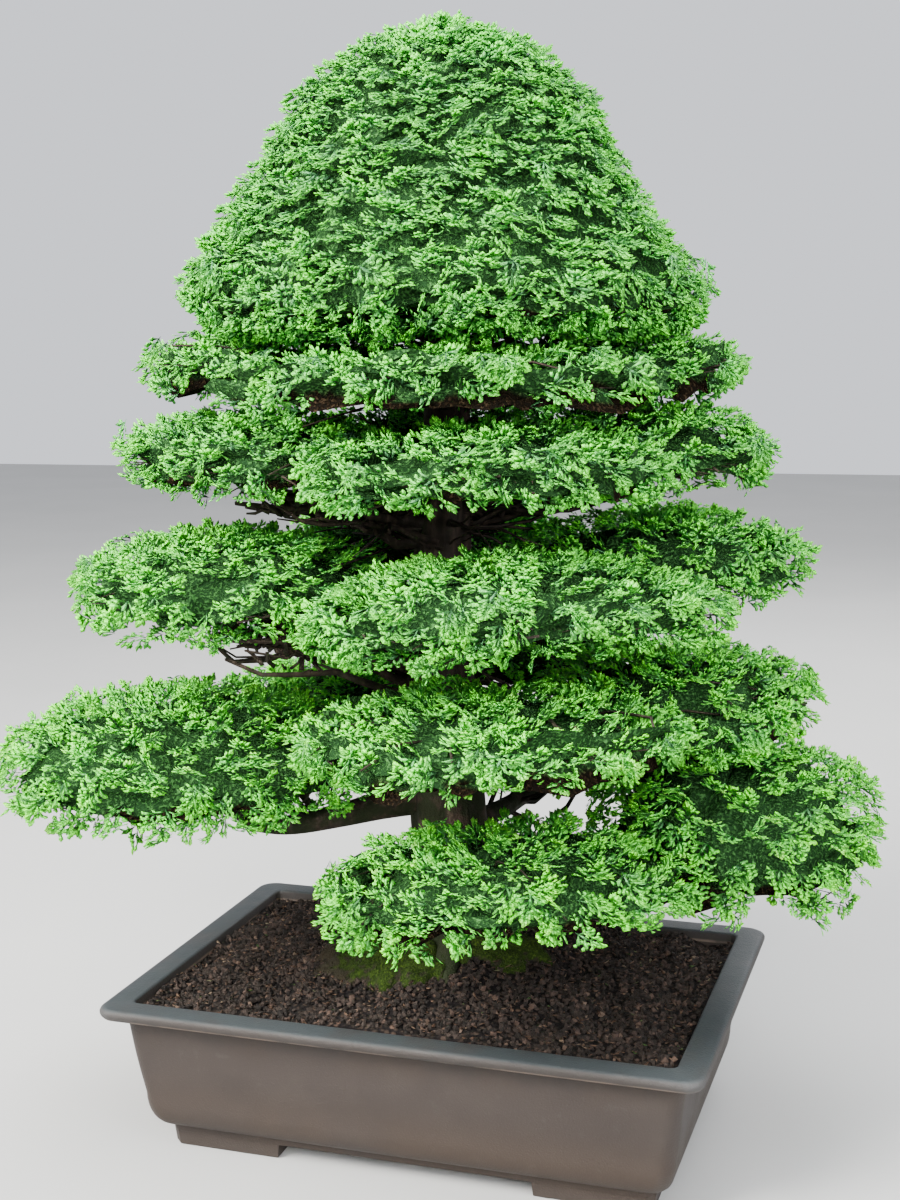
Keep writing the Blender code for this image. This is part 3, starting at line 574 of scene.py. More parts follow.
# %% [markdown]
# A granule is an eight-sided lump with its corners pushed about, just enough for an angular grain. Each copy
# gets its own turn, size and tone.

# %% Grit
GRIT_COUNT = 7600
LIP_MARGIN = 0.004
TRUNK_MARGIN = 0.036
GRANULE = np.array([(1, 0, 0), (-1, 0, 0), (0, 1, 0), (0, -1, 0), (0, 0, 1), (0, 0, -1)], dtype=float)
GRANULE_FACES = np.array([
    (0, 2, 4), (2, 1, 4), (1, 3, 4), (3, 0, 4), (2, 0, 5), (1, 2, 5), (3, 1, 5), (0, 3, 5),
])


def turned_frames(random, count):
    """Three directions at right angles for each copy, in every possible turn."""
    first = unit(random.normal(size=(count, 3)))
    second = unit(np.cross(first, random.normal(size=(count, 3))))
    return np.stack([first, second, np.cross(first, second)], axis=1)


def spots_on_soil(random, count):
    """Random spots over the bed, inside the pot's lip and clear of the trunk."""
    half = np.array([POT_LENGTH, POT_DEPTH]) / 2 - LIP_WIDTH - LIP_MARGIN
    spots = random.uniform(-half, half, (2 * count, 2))
    spots = spots[np.hypot(*spots.T) > TRUNK_MARGIN][:count]
    return with_column(spots, soil_height(*spots.T))


def make_grit():
    random = np.random.default_rng(5)
    roots = spots_on_soil(random, GRIT_COUNT)
    sizes = random.uniform(0.0014, 0.0029, GRIT_COUNT)
    frames = turned_frames(random, GRIT_COUNT) * random.uniform(0.75, 1.2, (GRIT_COUNT, 3, 1))
    roots[:, 2] += 0.2 * sizes - 0.0006
    points, faces = repeated(GRANULE, GRANULE_FACES, roots, frames, sizes)
    points += random.uniform(-0.00045, 0.00045, points.shape)
    tone = np.repeat(random.beta(1.4, 2.2, GRIT_COUNT), len(GRANULE))
    return piece("grit_layer", points, faces, grit, smooth=False, tone=tone)


granules = make_grit()
print("grit:", len(granules.data.polygons), "faces")

# %% [markdown]
# ## Bark
#
# Hinoki bark is red-brown and fibrous, and peels in long strips that weather to grey. Ridges that follow the
# wood's length are in the geometry. The finish draws the fine fibres with noise that is drawn out upward,
# paints shade into the hollows by the value `ridge` that each point carries, greens the foot of the trunk in
# a dark tone that is partly painted shade, and paints its lowest part dark as painted shade.

# %% Bark finish
def bark_finish():
    bark = Finish("fibrous_bark", Roughness=0.86, Specular_IOR_Level=0.25)
    ridge = bark.value_of("ridge")
    fibres = bark.noise(190.0, 6.0, (1.0, 1.0, 0.30))
    patches = bark.noise(34.0, 4.0)
    colour = bark.ramp(fibres, (0.28, (0.010, 0.007, 0.005)), (0.50, (0.028, 0.018, 0.012)),
                       (0.72, (0.075, 0.050, 0.036)))
    colour = bark.mixed(bark.between(patches, 0.46, 0.66) * 0.45, colour, (0.065, 0.053, 0.044))
    # Painted shade: the hollows between the bark's ridges are painted dark.
    colour = bark.mixed(bark.between(ridge, 0.0, 0.5), (0.014, 0.009, 0.007), colour)
    height = bark.height()
    # A green film on the lower trunk, with its very dark tone partly painted shade from the tiers above.
    green = bark.below(height, 0.27, 0.42) * bark.between(bark.noise(70.0, 5.0), 0.36, 0.52)
    colour = bark.mixed(green * 0.90, colour, (0.008, 0.013, 0.002))
    # Painted shade: the foot of the trunk, under the lowest pads, is painted dark.
    foot_shade = bark.below(height, 0.150, 0.215)
    colour = bark.mixed(foot_shade * 0.90, colour, (0.009, 0.014, 0.003))
    relief = fibres * 0.7 + bark.noise(800.0, 3.0) * 0.3
    return bark.dressed(Base_Color=colour, Normal=bark.raised(relief, 0.0026))


bark = bark_finish()
print("made", bark.name)

# %% Trunk, roots and limbs
# Height, radius, x and y of the trunk in millimetres, from under the soil to the top.
TRUNK = np.array([
    (90, 40, 0, 0), (128, 46, 0, 0), (150, 40, 1, 0), (178, 33.5, 3, 1), (215, 30.5, 3, 3),
    (260, 29.5, 0, 4), (320, 27, -3, 2), (390, 24.5, -2, -2), (460, 21.5, 2, -3), (530, 18.5, 5, 0),
    (600, 15, 5, 3), (670, 11.5, 7, 4), (740, 8, 10, 4), (795, 5, 12, 4),
]) / 1000
ROOTS = 6
# Distance from the middle, height and radius of a root in millimetres.
ROOT = np.array([(12, 162, 14), (36, 146, 11.5), (64, 131, 7), (80, 116, 3.5)]) / 1000
LIMB_SHARES = (0.0, 0.30, 0.55, 0.80, 1.0)
# How far the end of a limb droops below its usual line.
LIMB_DROP = {"pad_1_left": 0.040}
LIMB_RISE = 0.012
UP = np.array([0.0, 0.0, 1.0])

Pad = namedtuple("Pad", "name heading inner outer half_width low high branch")
# A pad's name, its heading in degrees, and in millimetres: how near to the trunk and how far out it lies,
# half its width, the heights of its underside and its top, and the radius of its limb.
PADS = [Pad(name, heading, *(size / 1000 for size in sizes)) for name, heading, *sizes in (
    ("pad_1_left", 201, 50, 345, 145, 257, 354, 12),
    ("pad_1_front", 303, 60, 274, 139, 218, 282, 8.5),
    ("pad_1_right", 6, 110, 338, 132, 199, 318, 10),
    ("pad_1_back_right", 68, 120, 300, 120, 226, 292, 8.5),
    ("pad_1_back_left", 138, 55, 308, 120, 258, 338, 8.5),
    ("pad_2_front", 298, 45, 292, 140, 320, 380, 9),
    ("pad_2_right", 14, 55, 292, 140, 302, 380, 9),
    ("pad_2_back", 96, 50, 288, 140, 316, 386, 8.5),
    ("pad_3_left", 207, 40, 284, 140, 394, 479, 9),
    ("pad_3_front", 306, 40, 264, 155, 392, 473, 9),
    ("pad_3_right", 30, 45, 293, 120, 402, 484, 8),
    ("pad_3_back", 114, 45, 268, 135, 400, 482, 8),
    ("pad_4_left", 210, 34, 246, 125, 497, 567, 7.5),
    ("pad_4_front", 302, 34, 240, 135, 491, 562, 7.5),
    ("pad_4_right", 24, 36, 260, 120, 490, 569, 7),
    ("pad_4_back", 112, 34, 242, 130, 488, 564, 7),
    ("pad_5_left", 194, 26, 228, 110, 568, 624, 5.5),
    ("pad_5_front", 288, 26, 216, 165, 565, 612, 6),
    ("pad_5_right", 22, 26, 236, 110, 561, 620, 5.5),
    ("pad_5_back", 108, 26, 216, 135, 568, 612, 5.5),
)]


def smooth_line(stations, count):
    """A smooth curve through stations: each span is a cubic that leaves with its neighbours' slope."""
    stations = np.asarray(stations, dtype=float)
    padded = np.vstack([2 * stations[0] - stations[1], stations, 2 * stations[-1] - stations[-2]])
    place = np.linspace(0, len(stations) - 1, count)
    span = np.minimum(place.astype(int), len(stations) - 2)
    t = (place - span)[:, None]
    before, start, end, after = (padded[span + k] for k in range(4))
    return 0.5 * (2 * start + (end - before) * t + (2 * before - 5 * start + 4 * end - after) * t**2
                  + (3 * start - before - 3 * end + after) * t**3)


def swept(line, radii, sides, reference, relief=0.0, phase=0.0):
    """A closed tube: rings square to the line, each point at the radius times one plus its ridge."""
    tangent = unit(np.gradient(line, axis=0))
    side = unit(np.cross(tangent, reference))
    other = np.cross(tangent, side)
    turn = full_turn(sides)[None, :]
    along = distances(line)[:, None]
    drift = 1.4 * np.sin(19 * along + phase) + 0.9 * np.sin(43 * along)
    ridge = 0.55 * np.sin(7 * turn + drift + phase) + 0.30 * np.sin(13 * turn - 1.6 * drift + 2.0 * phase)
    ridge = ridge + 0.25 * np.sin(23 * turn + 2.2 * drift) * np.sin(60 * along + 5 * turn)
    radius = radii[:, None] * (1 + relief * ridge)
    rings = line[:, None, :] + radius[..., None] * (
        np.cos(turn)[..., None] * side[:, None, :] + np.sin(turn)[..., None] * other[:, None, :]
    )
    points, faces = lofted(rings)
    return points, faces, np.append(0.5 + 0.5 * ridge / 1.1, (0.5, 0.5))


def headed(angle):
    """Level directions of length one at angles counted from +X."""
    return np.stack([np.cos(angle), np.sin(angle), 0 * angle], axis=-1)


def in_trunk(height):
    """The middle of the trunk at each height."""
    return np.stack([np.interp(height, TRUNK[:, 0], TRUNK[:, k]) for k in (2, 3)] + [height], axis=-1)


def limb_line(pad):
    """Points and radii of the limb that carries a pad, from the trunk's heart into the pad."""
    start_height = pad.low + 0.26 * (pad.high - pad.low) - LIMB_RISE
    out = headed(np.radians(pad.heading))
    side = np.array([-out[1], out[0], 0.0])
    reach = pad.inner + 0.36 * (pad.outer - pad.inner)
    bend = 0.007 * math.sin(pad.heading * 1.7 + pad.low * 40)
    share = np.array(LIMB_SHARES)[:, None]
    wave = bend * np.sin(2 * np.pi * share) * (1 - share)
    line = in_trunk(start_height) + out * reach * share + side * wave
    drop = LIMB_DROP.get(pad.name, 0.0) * np.interp(share, LIMB_SHARES, (0.22, 0.52, 0.81, 1.0, 1.0))
    line[:, 2:] = start_height + LIMB_RISE * np.minimum(1.0, share * 2.2) - 0.014 * share * (1 - share) - drop
    return line, pad.branch * (1.15 - 0.65 * share[:, 0])


def make_wood():
    trunk = smooth_line(TRUNK, 120)
    parts = [swept(trunk[:, [2, 3, 0]], trunk[:, 1], 64, np.array([1.0, 0.0, 0.0]), 0.055)]
    for index, pad in enumerate(PADS):
        line, radii = limb_line(pad)
        fine = smooth_line(np.column_stack([line, radii]), 22)
        parts.append(swept(fine[:, :3], fine[:, 3], 12, UP, 0.06, index))
    for index in range(ROOTS):
        out = headed(np.radians(360 / ROOTS * index + 14 * math.sin(index * 2.3)))
        length = 1.0 + 0.18 * math.sin(index * 1.9)
        line = out * ROOT[:, :1] * length + UP * ROOT[:, 1:2]
        fine = smooth_line(np.column_stack([line, ROOT[:, 2]]), 24)
        parts.append(swept(fine[:, :3], fine[:, 3], 20, UP, 0.07, index))
    points, faces, ridge = gathered(parts)
    return piece("trunk_and_limbs_bark", points, faces, bark, ridge=ridge)


wood = make_wood()
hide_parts("trunk_and_limbs")
print("wood:", len(wood.data.polygons), "faces")

# %% [markdown]
# ## Moss
#
# A cushion of moss lies against the roots, deep green in the shade and yellow-brown where it dries at its
# edge. The cushion is a low mound under a few thousand tiny spikes, which catch the light along the outline.

# %% Moss
MOSS_REACH = 0.082
MOSS_RISE = 0.013
MOSS_CENTRE = np.array([-0.016, -0.010])
MOSS_TUFTS = 3600
MOSS_AROUND = 120
MOSS_RINGS = 34
SPIKE = np.array([(1, 0, 0), (-0.5, 0.87, 0), (-0.5, -0.87, 0), (0, 0, 3.4)])
SPIKE_FACES = np.array([(0, 1, 3), (1, 2, 3), (2, 0, 3), (0, 2, 1)])


def moss_finish():
    moss = Finish("moss_pile", Roughness=0.95, Specular_IOR_Level=0.15)
    dry = moss.value_of("dry")
    patches = moss.noise(45.0, 4.0)
    fine = moss.noise(600.0, 3.0)
    colour = moss.ramp(fine, (0.30, (0.005, 0.010, 0.001)), (0.55, (0.015, 0.030, 0.002)),
                       (0.75, (0.038, 0.066, 0.005)))
    dried = moss.between(dry + patches * 0.5, 1.30, 1.62)
    colour = moss.mixed(dried * 0.8, colour, (0.060, 0.052, 0.012))
    earth = moss.between(dry + moss.noise(150.0, 4.0), 1.46, 1.60)
    colour = moss.mixed(earth * 0.85, colour, (0.016, 0.011, 0.009))
    return moss.dressed(Base_Color=colour, Normal=moss.raised(fine, 0.0015))


def moss_place(turn, share):
    """A spot of the cushion: its wavy edge shrinks to the middle while its top rises."""
    edge = MOSS_REACH * (1 + 0.16 * np.sin(3 * turn + 0.6) + 0.09 * np.sin(5 * turn + 2.0))
    edge = edge * (1 - 0.25 * np.maximum(0, -np.sin(turn)) + 0.25 * np.maximum(0, -np.cos(turn)))
    edge = edge * (1 + 0.05 * np.sin(17 * turn) + 0.04 * np.sin(29 * turn))
    x = MOSS_CENTRE[0] * share + edge * share * np.cos(turn)
    y = MOSS_CENTRE[1] * share + edge * share * np.sin(turn)
    rise = np.interp(share, (0.0, 0.28, 0.58, 0.82, 0.95, 1.0), (1.0, 1.0, 0.95, 0.70, 0.30, -0.05))
    lumps = 1 + 0.25 * np.sin(7 * turn + 9 * share) + 0.16 * np.sin(19 * turn - 31 * share)
    return np.stack([x, y, soil_height(x, y) + MOSS_RISE * rise * lumps], axis=-1)


def make_moss():
    random = np.random.default_rng(8)
    shares = np.linspace(1.0, 0.05, MOSS_RINGS)
    rings = [moss_place(full_turn(MOSS_AROUND), np.full(MOSS_AROUND, share)) for share in shares]
    rings = np.array([rings[0] - (0.0, 0.0, 0.004), *rings])
    rings[1:, :, 2] += random.uniform(-0.0006, 0.0006, rings[1:, :, 2].shape)
    dry = np.append(np.repeat(np.append(1.0, shares), MOSS_AROUND), (1.0, 0.0))
    share = np.sqrt(random.uniform(0.05, 1.0, MOSS_TUFTS))
    turn = random.uniform(0, 2 * np.pi, MOSS_TUFTS)
    roots = moss_place(turn, share) - (0.0, 0.0, 0.0006)
    up = unit(UP + random.normal(0, 0.35, (MOSS_TUFTS, 3)))
    across = unit(np.cross(up, random.normal(size=(MOSS_TUFTS, 3))))
    frames = np.stack([across, np.cross(up, across), up], axis=1)
    tufts = repeated(SPIKE, SPIKE_FACES, roots, frames, random.uniform(0.0004, 0.0008, MOSS_TUFTS))
    points, faces, dry = gathered([(*lofted(rings), dry), (*tufts, np.repeat(share, len(SPIKE)))])
    west = np.interp(points[:, 0], (-0.11, -0.03), (0.40, 0.0))
    return piece("moss_cushion", points, faces, moss, dry=dry + west)


moss = moss_finish()
cushion = make_moss()
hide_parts("moss_mat")
print("moss:", len(cushion.data.polygons), "faces")

# %% [markdown]
# ## Leaf finish
#
# The scale leaves are a matt mid green, yellow-green on this year's tips and blue-green inside the pads where
# little light comes. Each point of a spray carries two values: `tip`, how near it is to a growing tip, and
# `tone`, the spray's own mood. The colour is also painted lighter and yellower low on the tree and darker on
# the crown, as painted light. What shows between the sprays is painted shade with a darker finish of its own,
# brown where its value `bare` is one.

# %% Leaf finish
def leaf_finish():
    leaf = Finish("leaf", Roughness=0.60, Specular_IOR_Level=0.05)
    tip = leaf.value_of("tip")
    tone = leaf.value_of("tone")
    scales = leaf.cells(900.0)
    clouds = leaf.noise(24.0, 3.0)
    growth_and_light = tip * 0.62 + tone * 0.22 + clouds * 0.16
    # Painted light: lower pads are painted lighter and yellower, and the crown darker, for the light that
    # falls on each tier.
    growth_and_light = growth_and_light + (0.60 - leaf.height()) * 0.26
    colour = leaf.ramp(growth_and_light, (0.12, (0.060, 0.150, 0.085)), (0.36, (0.110, 0.340, 0.130)),
                       (0.60, (0.148, 0.660, 0.088)), (0.84, (0.195, 0.970, 0.036)),
                       (1.0, (0.400, 0.990, 0.030)))
    cool = leaf.between(tone, 0.60, 1.0) * 0.32
    colour = leaf.mixed(cool, colour, (0.090, 0.460, 0.190))
    colour = leaf.mixed(leaf.between(scales, 0.20, 0.75) * 0.12, colour, (0.040, 0.150, 0.036))
    return leaf.dressed(Base_Color=colour, Normal=leaf.raised(scales, 0.0005))


def shade_finish():
    """Painted shade for what shows between the sprays: older green leaves deep in the pad, and dead brown
    ones underneath.
    """
    shade = Finish("inner_shade", Roughness=1.0, Specular_IOR_Level=0.0)
    bare = shade.value_of("bare")
    fine = shade.between(shade.noise(420.0, 3.0), 0.42, 0.64)
    green = shade.mixed(fine, (0.010, 0.030, 0.010), (0.042, 0.125, 0.034))
    brown = shade.mixed(fine, (0.005, 0.004, 0.003), (0.026, 0.017, 0.010))
    colour = shade.mixed(shade.between(bare, 0.4, 0.7), green, brown)
    return shade.dressed(Base_Color=colour, Normal=shade.raised(fine, 0.0020))


leaf = leaf_finish()
shade = shade_finish()
print("made", leaf.name, "and", shade.name)

# %% [markdown]
# ## One spray
#
# A spray grows in one plane like a hand: a middle stem with side shoots left and right, and small shoots on
# those. Every bit of it is the same flattened, blunt branchlet, so the shape is one branchlet of four
# triangles, placed by a rule. Ten sprays with small chance differences are enough for the eye.

# %% Branchlet and spray shapes
BRANCHLET = np.array([(-0.04, 0.0, 0.0), (0.74, 0.56, -0.05), (0.74, -0.56, -0.05), (1.02, 0.0, 0.16)])
BRANCHLET_FACES = np.array([(0, 2, 3), (0, 3, 1), (0, 1, 2), (1, 3, 2)])
SPRAY_KINDS = 10
SPRAY_LENGTH = 0.0245
SPRAY_INSIDE = 0.90


def spray_branchlets(random):
    """(start x, start y, angle, length, width, age) of a spray's branchlets. It is one long, and new is 1."""
    rows = []
    step, angle = 0.19, random.uniform(-0.12, 0.12)
    x = y = 0.0
    for node in range(4):
        if node % 2 == 0:
            rows.append((x, y, angle, 0.44, 0.10, 0.15 + 0.2 * node))
        for side in (-1, 1):
            shoot = angle + side * (1.00 - 0.13 * node + random.uniform(-0.12, 0.12))
            reach = (0.44, 0.42, 0.36, 0.27)[node] * random.uniform(0.85, 1.10)
            sx, sy = x + step * 0.5 * math.cos(angle), y + step * 0.5 * math.sin(angle)
            rows.append((sx, sy, shoot, reach, 0.125, 0.45 + 0.15 * node))
            for share, lean in ((0.36, 1), (0.60, -1))[:2 if node < 3 else 1]:
                fx, fy = sx + reach * share * math.cos(shoot), sy + reach * share * math.sin(shoot)
                turn = shoot - lean * side * random.uniform(0.50, 0.80)
                rows.append((fx, fy, turn, random.uniform(0.19, 0.25), 0.120, 0.70 + 0.10 * node))
        x += step * math.cos(angle)
        y += step * math.sin(angle)
        angle += random.uniform(-0.12, 0.12)
    rows.append((x, y, angle, 0.26, 0.13, 1.0))
    return np.array(rows)


def spray_shape(random):
    """Points, faces and tip values of one spray along +X, cupped like a shell, with no two bits level."""
    rows = spray_branchlets(random)
    x, y, angle, length, width, age = rows.T
    pitch = random.normal(0.0, 0.22, len(rows))
    along = np.stack([np.cos(angle) * np.cos(pitch), np.sin(angle) * np.cos(pitch), np.sin(pitch)], axis=-1)
    level = np.stack([-np.sin(angle), np.cos(angle), np.zeros(len(rows))], axis=-1)
    across = unit(level + np.cross(along, level) * random.uniform(-0.55, 0.55, (len(rows), 1)))
    frames = np.stack([
        along * length[:, None], across * width[:, None], np.cross(along, across) * width[:, None],
    ], axis=1)
    roots = np.stack([x, y, random.uniform(-0.03, 0.03, len(rows))], axis=-1)
    points, faces = repeated(BRANCHLET, BRANCHLET_FACES, roots, frames, np.ones(len(rows)))
    cup = random.uniform(-0.35, 0.45)
    points[:, 2] -= cup * ((points[:, 0] - 0.2) ** 2 + 1.6 * points[:, 1] ** 2)
    local = np.array([0.0, 0.75, 0.75, 1.0])
    tip = 0.72 * np.minimum(age, 1.0)[:, None] + 0.28 * local[None, :]
    return points, faces, tip.ravel()


spray_shapes = [spray_shape(np.random.default_rng(40 + kind)) for kind in range(SPRAY_KINDS)]
print("triangles in a spray:", [len(faces) for _, faces, _ in spray_shapes])

# %% [markdown]
# ## Litter on the soil
#
# Dead scale leaves drop on the soil and dry to a red-brown, with a few fallen green bits among them. A fallen
# bit is the same branchlet as on the tree, dealt out flat over the bed.

# %% Litter
LITTER_COUNT = 1500


def litter_finish():
    litter = Finish("dry_leaf", Roughness=0.85, Specular_IOR_Level=0.20)
    tone = litter.value_of("tone")
    colour = litter.ramp(tone, (0.0, (0.020, 0.012, 0.008)), (0.45, (0.060, 0.032, 0.019)),
                         (0.80, (0.115, 0.068, 0.042)), (0.93, (0.150, 0.110, 0.075)),
                         (0.96, (0.030, 0.075, 0.012)))
    return litter.dressed(Base_Color=colour, Normal=litter.raised(litter.cells(900.0), 0.0004))


def make_litter():
    random = np.random.default_rng(6)
    roots = spots_on_soil(random, LITTER_COUNT)
    roots[:, 2] += random.uniform(0.0010, 0.0026, LITTER_COUNT)
    heading = random.uniform(0, 2 * np.pi, LITTER_COUNT)
    forward = unit(np.column_stack([np.cos(heading), np.sin(heading), random.normal(0, 0.25, LITTER_COUNT)]))
    side = unit(np.cross(unit(random.normal(0, 0.3, (LITTER_COUNT, 3)) + (0, 0, 1)), forward))
    frames = np.stack([forward, side * 0.42, np.cross(forward, side) * 0.42], axis=1)
    sizes = random.uniform(0.0025, 0.0065, LITTER_COUNT)
    points, faces = repeated(BRANCHLET, BRANCHLET_FACES, roots, frames, sizes)
    tone = np.repeat(random.uniform(0, 1, LITTER_COUNT), len(BRANCHLET))
    return piece("litter", points, faces, litter_finish(), tone=tone)


litter = make_litter()
print("litter:", len(litter.data.polygons), "faces")

# %% [markdown]
# ## Where sprays grow
#
# A pad is a flat-bottomed cloud. Its surface is a function of two numbers: `turn` goes round it, and `climb`
# goes from the middle of its underside, out round the rim and up to the top. Sprays are dealt out evenly over
# its area: the cells of a grid are laid in a line by their size, and equal steps along that line pick the
# spots.

# %% The surface of a pad
REACH_X = 0.344
REACH_Y = 0.280
# How much of its height a pad's outer end stands higher than the rest, where that isn't the usual share.
RIM_RISE = {"pad_1_right": 0.12, "pad_1_left": 0.24}
USUAL_RIM_RISE = 0.18
under_share = graph((0.0, 0.0), (0.22, 0.62), (0.36, 0.90), (0.44, 0.985), (0.50, 1.0))
under_level = graph((0.0, 0.26), (0.22, 0.17), (0.36, 0.09), (0.44, 0.18), (0.50, 0.36))
under_lift = graph((0.0, 0.0), (0.22, 0.2), (0.36, 0.8), (0.44, 1.0), (0.50, 0.7))


def sector(pad):
    """Half the angle to the pads on either side in the same tier, in radians."""
    tier = sorted(p.heading % 360 for p in PADS if p.name[:5] == pad.name[:5])
    place = tier.index(pad.heading % 360)
    after = (tier[(place + 1) % len(tier)] - pad.heading) % 360
    before = (pad.heading - tier[place - 1]) % 360
    return math.radians(before / 2), math.radians(after / 2)


def pad_surface(pad):
    """The pad's surface as a function of turn and climb, both arrays."""
    before, after = sector(pad)

    def surface(turn, climb):
        dome = np.clip((climb - 0.5) / 0.5, 0, 1)
        share = np.where(climb < 0.5, under_share(climb), 1 - dome)
        upper = pad.low > 0.30
        lift = 0.14 * upper + RIM_RISE.get(pad.name, USUAL_RIM_RISE) * np.maximum(0, np.cos(turn)) ** 2
        dome_level = 0.38 + 0.45 * lift + (0.58 - 0.4 * lift) * np.maximum(0, 1 - share**2.5) ** 0.60
        level = np.where(climb < 0.5, under_level(climb) + lift * under_lift(climb), dome_level)
        half_length = (pad.outer - pad.inner) / 2
        half_width = pad.half_width * (1 + 0.15 * np.cos(turn))
        radius = 1 / np.hypot(np.cos(turn) / half_length, np.sin(turn) / half_width)
        radius = radius * (1 + 0.04 * np.sin(3 * turn + pad.heading) + 0.03 * np.sin(5 * turn + pad.low * 90))
        radius = radius * share
        along = (pad.inner + pad.outer) / 2 + radius * np.cos(turn)
        across = radius * np.sin(turn)
        reach = np.minimum(np.hypot(along, across), pad.outer - 0.005)
        slack = 0.002 / np.maximum(reach, 0.03)
        bearing = np.clip(np.arctan2(across, along), slack - before, after - slack)
        bearing = bearing + math.radians(pad.heading)
        x = np.clip(reach * np.cos(bearing), -REACH_X, REACH_X)
        y = np.clip(reach * np.sin(bearing), -REACH_Y, REACH_Y)
        lumps = 0.05 * np.sin(61 * x + 37 * y + pad.heading) * np.sin(49 * y - 43 * x)
        return np.stack([x, y, pad.low + (level + lumps * share) * (pad.high - pad.low)], axis=-1)

    return surface


def with_normals(surface, turn, climb):
    """Points of a surface and their outward normals, from small steps both ways."""
    step = 1e-3
    round_it = surface(turn + step, climb) - surface(turn - step, climb)
    up_it = surface(turn, np.minimum(climb + step, 1)) - surface(turn, np.maximum(climb - step, 0))
    return surface(turn, climb), unit(np.cross(round_it, up_it))


def sunk(surface, turn, climb, depth):
    """Points of a surface drawn inward by depth along its normals."""
    points, normals = with_normals(surface, turn, climb)
    return points - normals * depth


def dealt_spots(surface, count, weight, random):
    """Spots dealt out evenly by area times weight(climb), with a little chance in each, and the area."""
    around, rows = 72, 48
    turn = np.linspace(0, 2 * np.pi, around + 1)
    climb = np.linspace(0, 1, rows + 1)
    grid = surface(*np.meshgrid(turn, climb, indexing="xy"))
    sides = np.diff(grid[:-1], axis=1), np.diff(grid[:, :-1], axis=0)
    areas = np.linalg.norm(np.cross(*sides), axis=-1)
    line = np.cumsum(areas * weight((climb[:-1] + climb[1:]) / 2)[:, None])
    cell = np.searchsorted(line, (np.arange(count) + random.uniform(0.1, 0.9, count)) / count * line[-1])
    row, column = np.divmod(np.minimum(cell, areas.size - 1), around)
    turn = (column + random.uniform(0, 1, count)) / around * 2 * np.pi
    climb = (row + random.uniform(0, 1, count)) / rows
    return turn, climb, areas.sum()


print("pads:", len(PADS), "in", len({pad.name[:5] for pad in PADS}), "tiers")

# %% [markdown]
# Each spray leaves its spot outward and leans off the surface, so the sprays overlap like shingles and shed
# the light the way clipped hinoki does. Most of a spray lies inside the surface, so that its tips come out at
# it. Behind the sprays is a dark heart of old wood and shade, which closes the view through the pad without
# reaching its lacy rim.

# %% Grow sprays on a surface
PAD_SPRAYS_PER_AREA = 2650
pad_weight = graph((0.0, 0.16), (0.22, 0.55), (0.34, 1.1), (0.42, 1.5), (0.56, 1.25), (1.0, 1.0))
pad_lift = graph((0.0, 0.10), (0.34, 0.45), (0.44, 0.95), (0.56, 0.85), (0.75, 0.75), (1.0, 0.85))
pad_depth = graph((0.0, 0.005), (0.34, 0.018), (0.46, 0.032), (0.60, 0.028), (0.75, 0.019), (1.0, 0.015))


def grown_sprays(spots, normals, outward, lift, random, droop=0.40):
    """Sprays at spots: forward runs down the slope and is raised off it by lift, in radians."""
    count = len(spots)
    down = outward - droop * UP
    slope = unit(down - normals * np.sum(down * normals, axis=1, keepdims=True))
    swing = np.clip(random.normal(0, 0.60, count), -1.1, 1.1)[:, None]
    slope = slope * np.cos(swing) + np.cross(normals, slope) * np.sin(swing)
    lift = (lift + random.normal(0, 0.30, count))[:, None]
    forward = unit(slope * np.cos(lift) + normals * np.sin(lift))
    up = unit(normals + 0.9 * UP + random.normal(0, 0.40, (count, 3)))
    side = unit(np.cross(up, forward))
    face = np.cross(forward, side)
    frames = np.stack([forward, side, face], axis=1)
    sizes = SPRAY_LENGTH * random.uniform(0.82, 1.18, count)
    roots = spots - forward * sizes[:, None] * SPRAY_INSIDE
    kinds = random.integers(0, SPRAY_KINDS, count)
    tones = random.uniform(0, 1, count)
    parts = []
    for kind, (shape, faces, tip) in enumerate(spray_shapes):
        chosen = kinds == kind
        copies = repeated(shape, faces, roots[chosen], frames[chosen], sizes[chosen])
        parts.append((*copies, np.tile(tip, chosen.sum()), np.repeat(tones[chosen], len(shape))))
    return gathered(parts)


def heart(surface, depth, random, around=36, rows=20):
    """The dark inner body of painted shade: the surface drawn inward by depth(climb) along its normals, and
    roughened.
    """
    turn, climb = np.meshgrid(full_turn(around), np.linspace(0.02, 0.985, rows), indexing="xy")
    points = sunk(surface, turn, climb, depth(climb)[..., None])
    return lofted(points + random.normal(0, 0.0032, points.shape))


def make_pad_sprays(pad, index):
    """The pad's sprays as a piece. It returns their count and the pad's heart."""
    random = np.random.default_rng(100 + index)
    surface = pad_surface(pad)
    # A first deal of a few spots only measures the area, which sets the count.
    area = dealt_spots(surface, 10, pad_weight, random)[2]
    count = int(area * PAD_SPRAYS_PER_AREA)
    turn, climb, _ = dealt_spots(surface, count, pad_weight, random)
    spots, normals = with_normals(surface, turn, climb)
    middle = headed(np.radians(pad.heading)) * (pad.inner + pad.outer) / 2
    middle = middle + (0.0, 0.0, (pad.low + pad.high) / 2)
    inward = np.sum(normals * (spots - middle), axis=1, keepdims=True) < 0
    normals = np.where(inward, -normals, normals)
    outward = unit((spots - middle) * np.array([1.0, 1.0, 0.0]))
    points, faces, tip, tone = grown_sprays(spots, normals, outward, pad_lift(climb), random)
    points[:, 2] = np.clip(points[:, 2], pad.low - 0.004, pad.high + 0.004)
    sprays = piece(pad.name + "_sprays", points, faces, leaf, tip=tip, tone=tone)
    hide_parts(pad.name)
    core_points, core_faces = heart(surface, pad_depth, random)
    under = core_points[:, 2] < pad.low + 0.30 * (pad.high - pad.low)
    return count, (core_points, core_faces, under.astype(float))


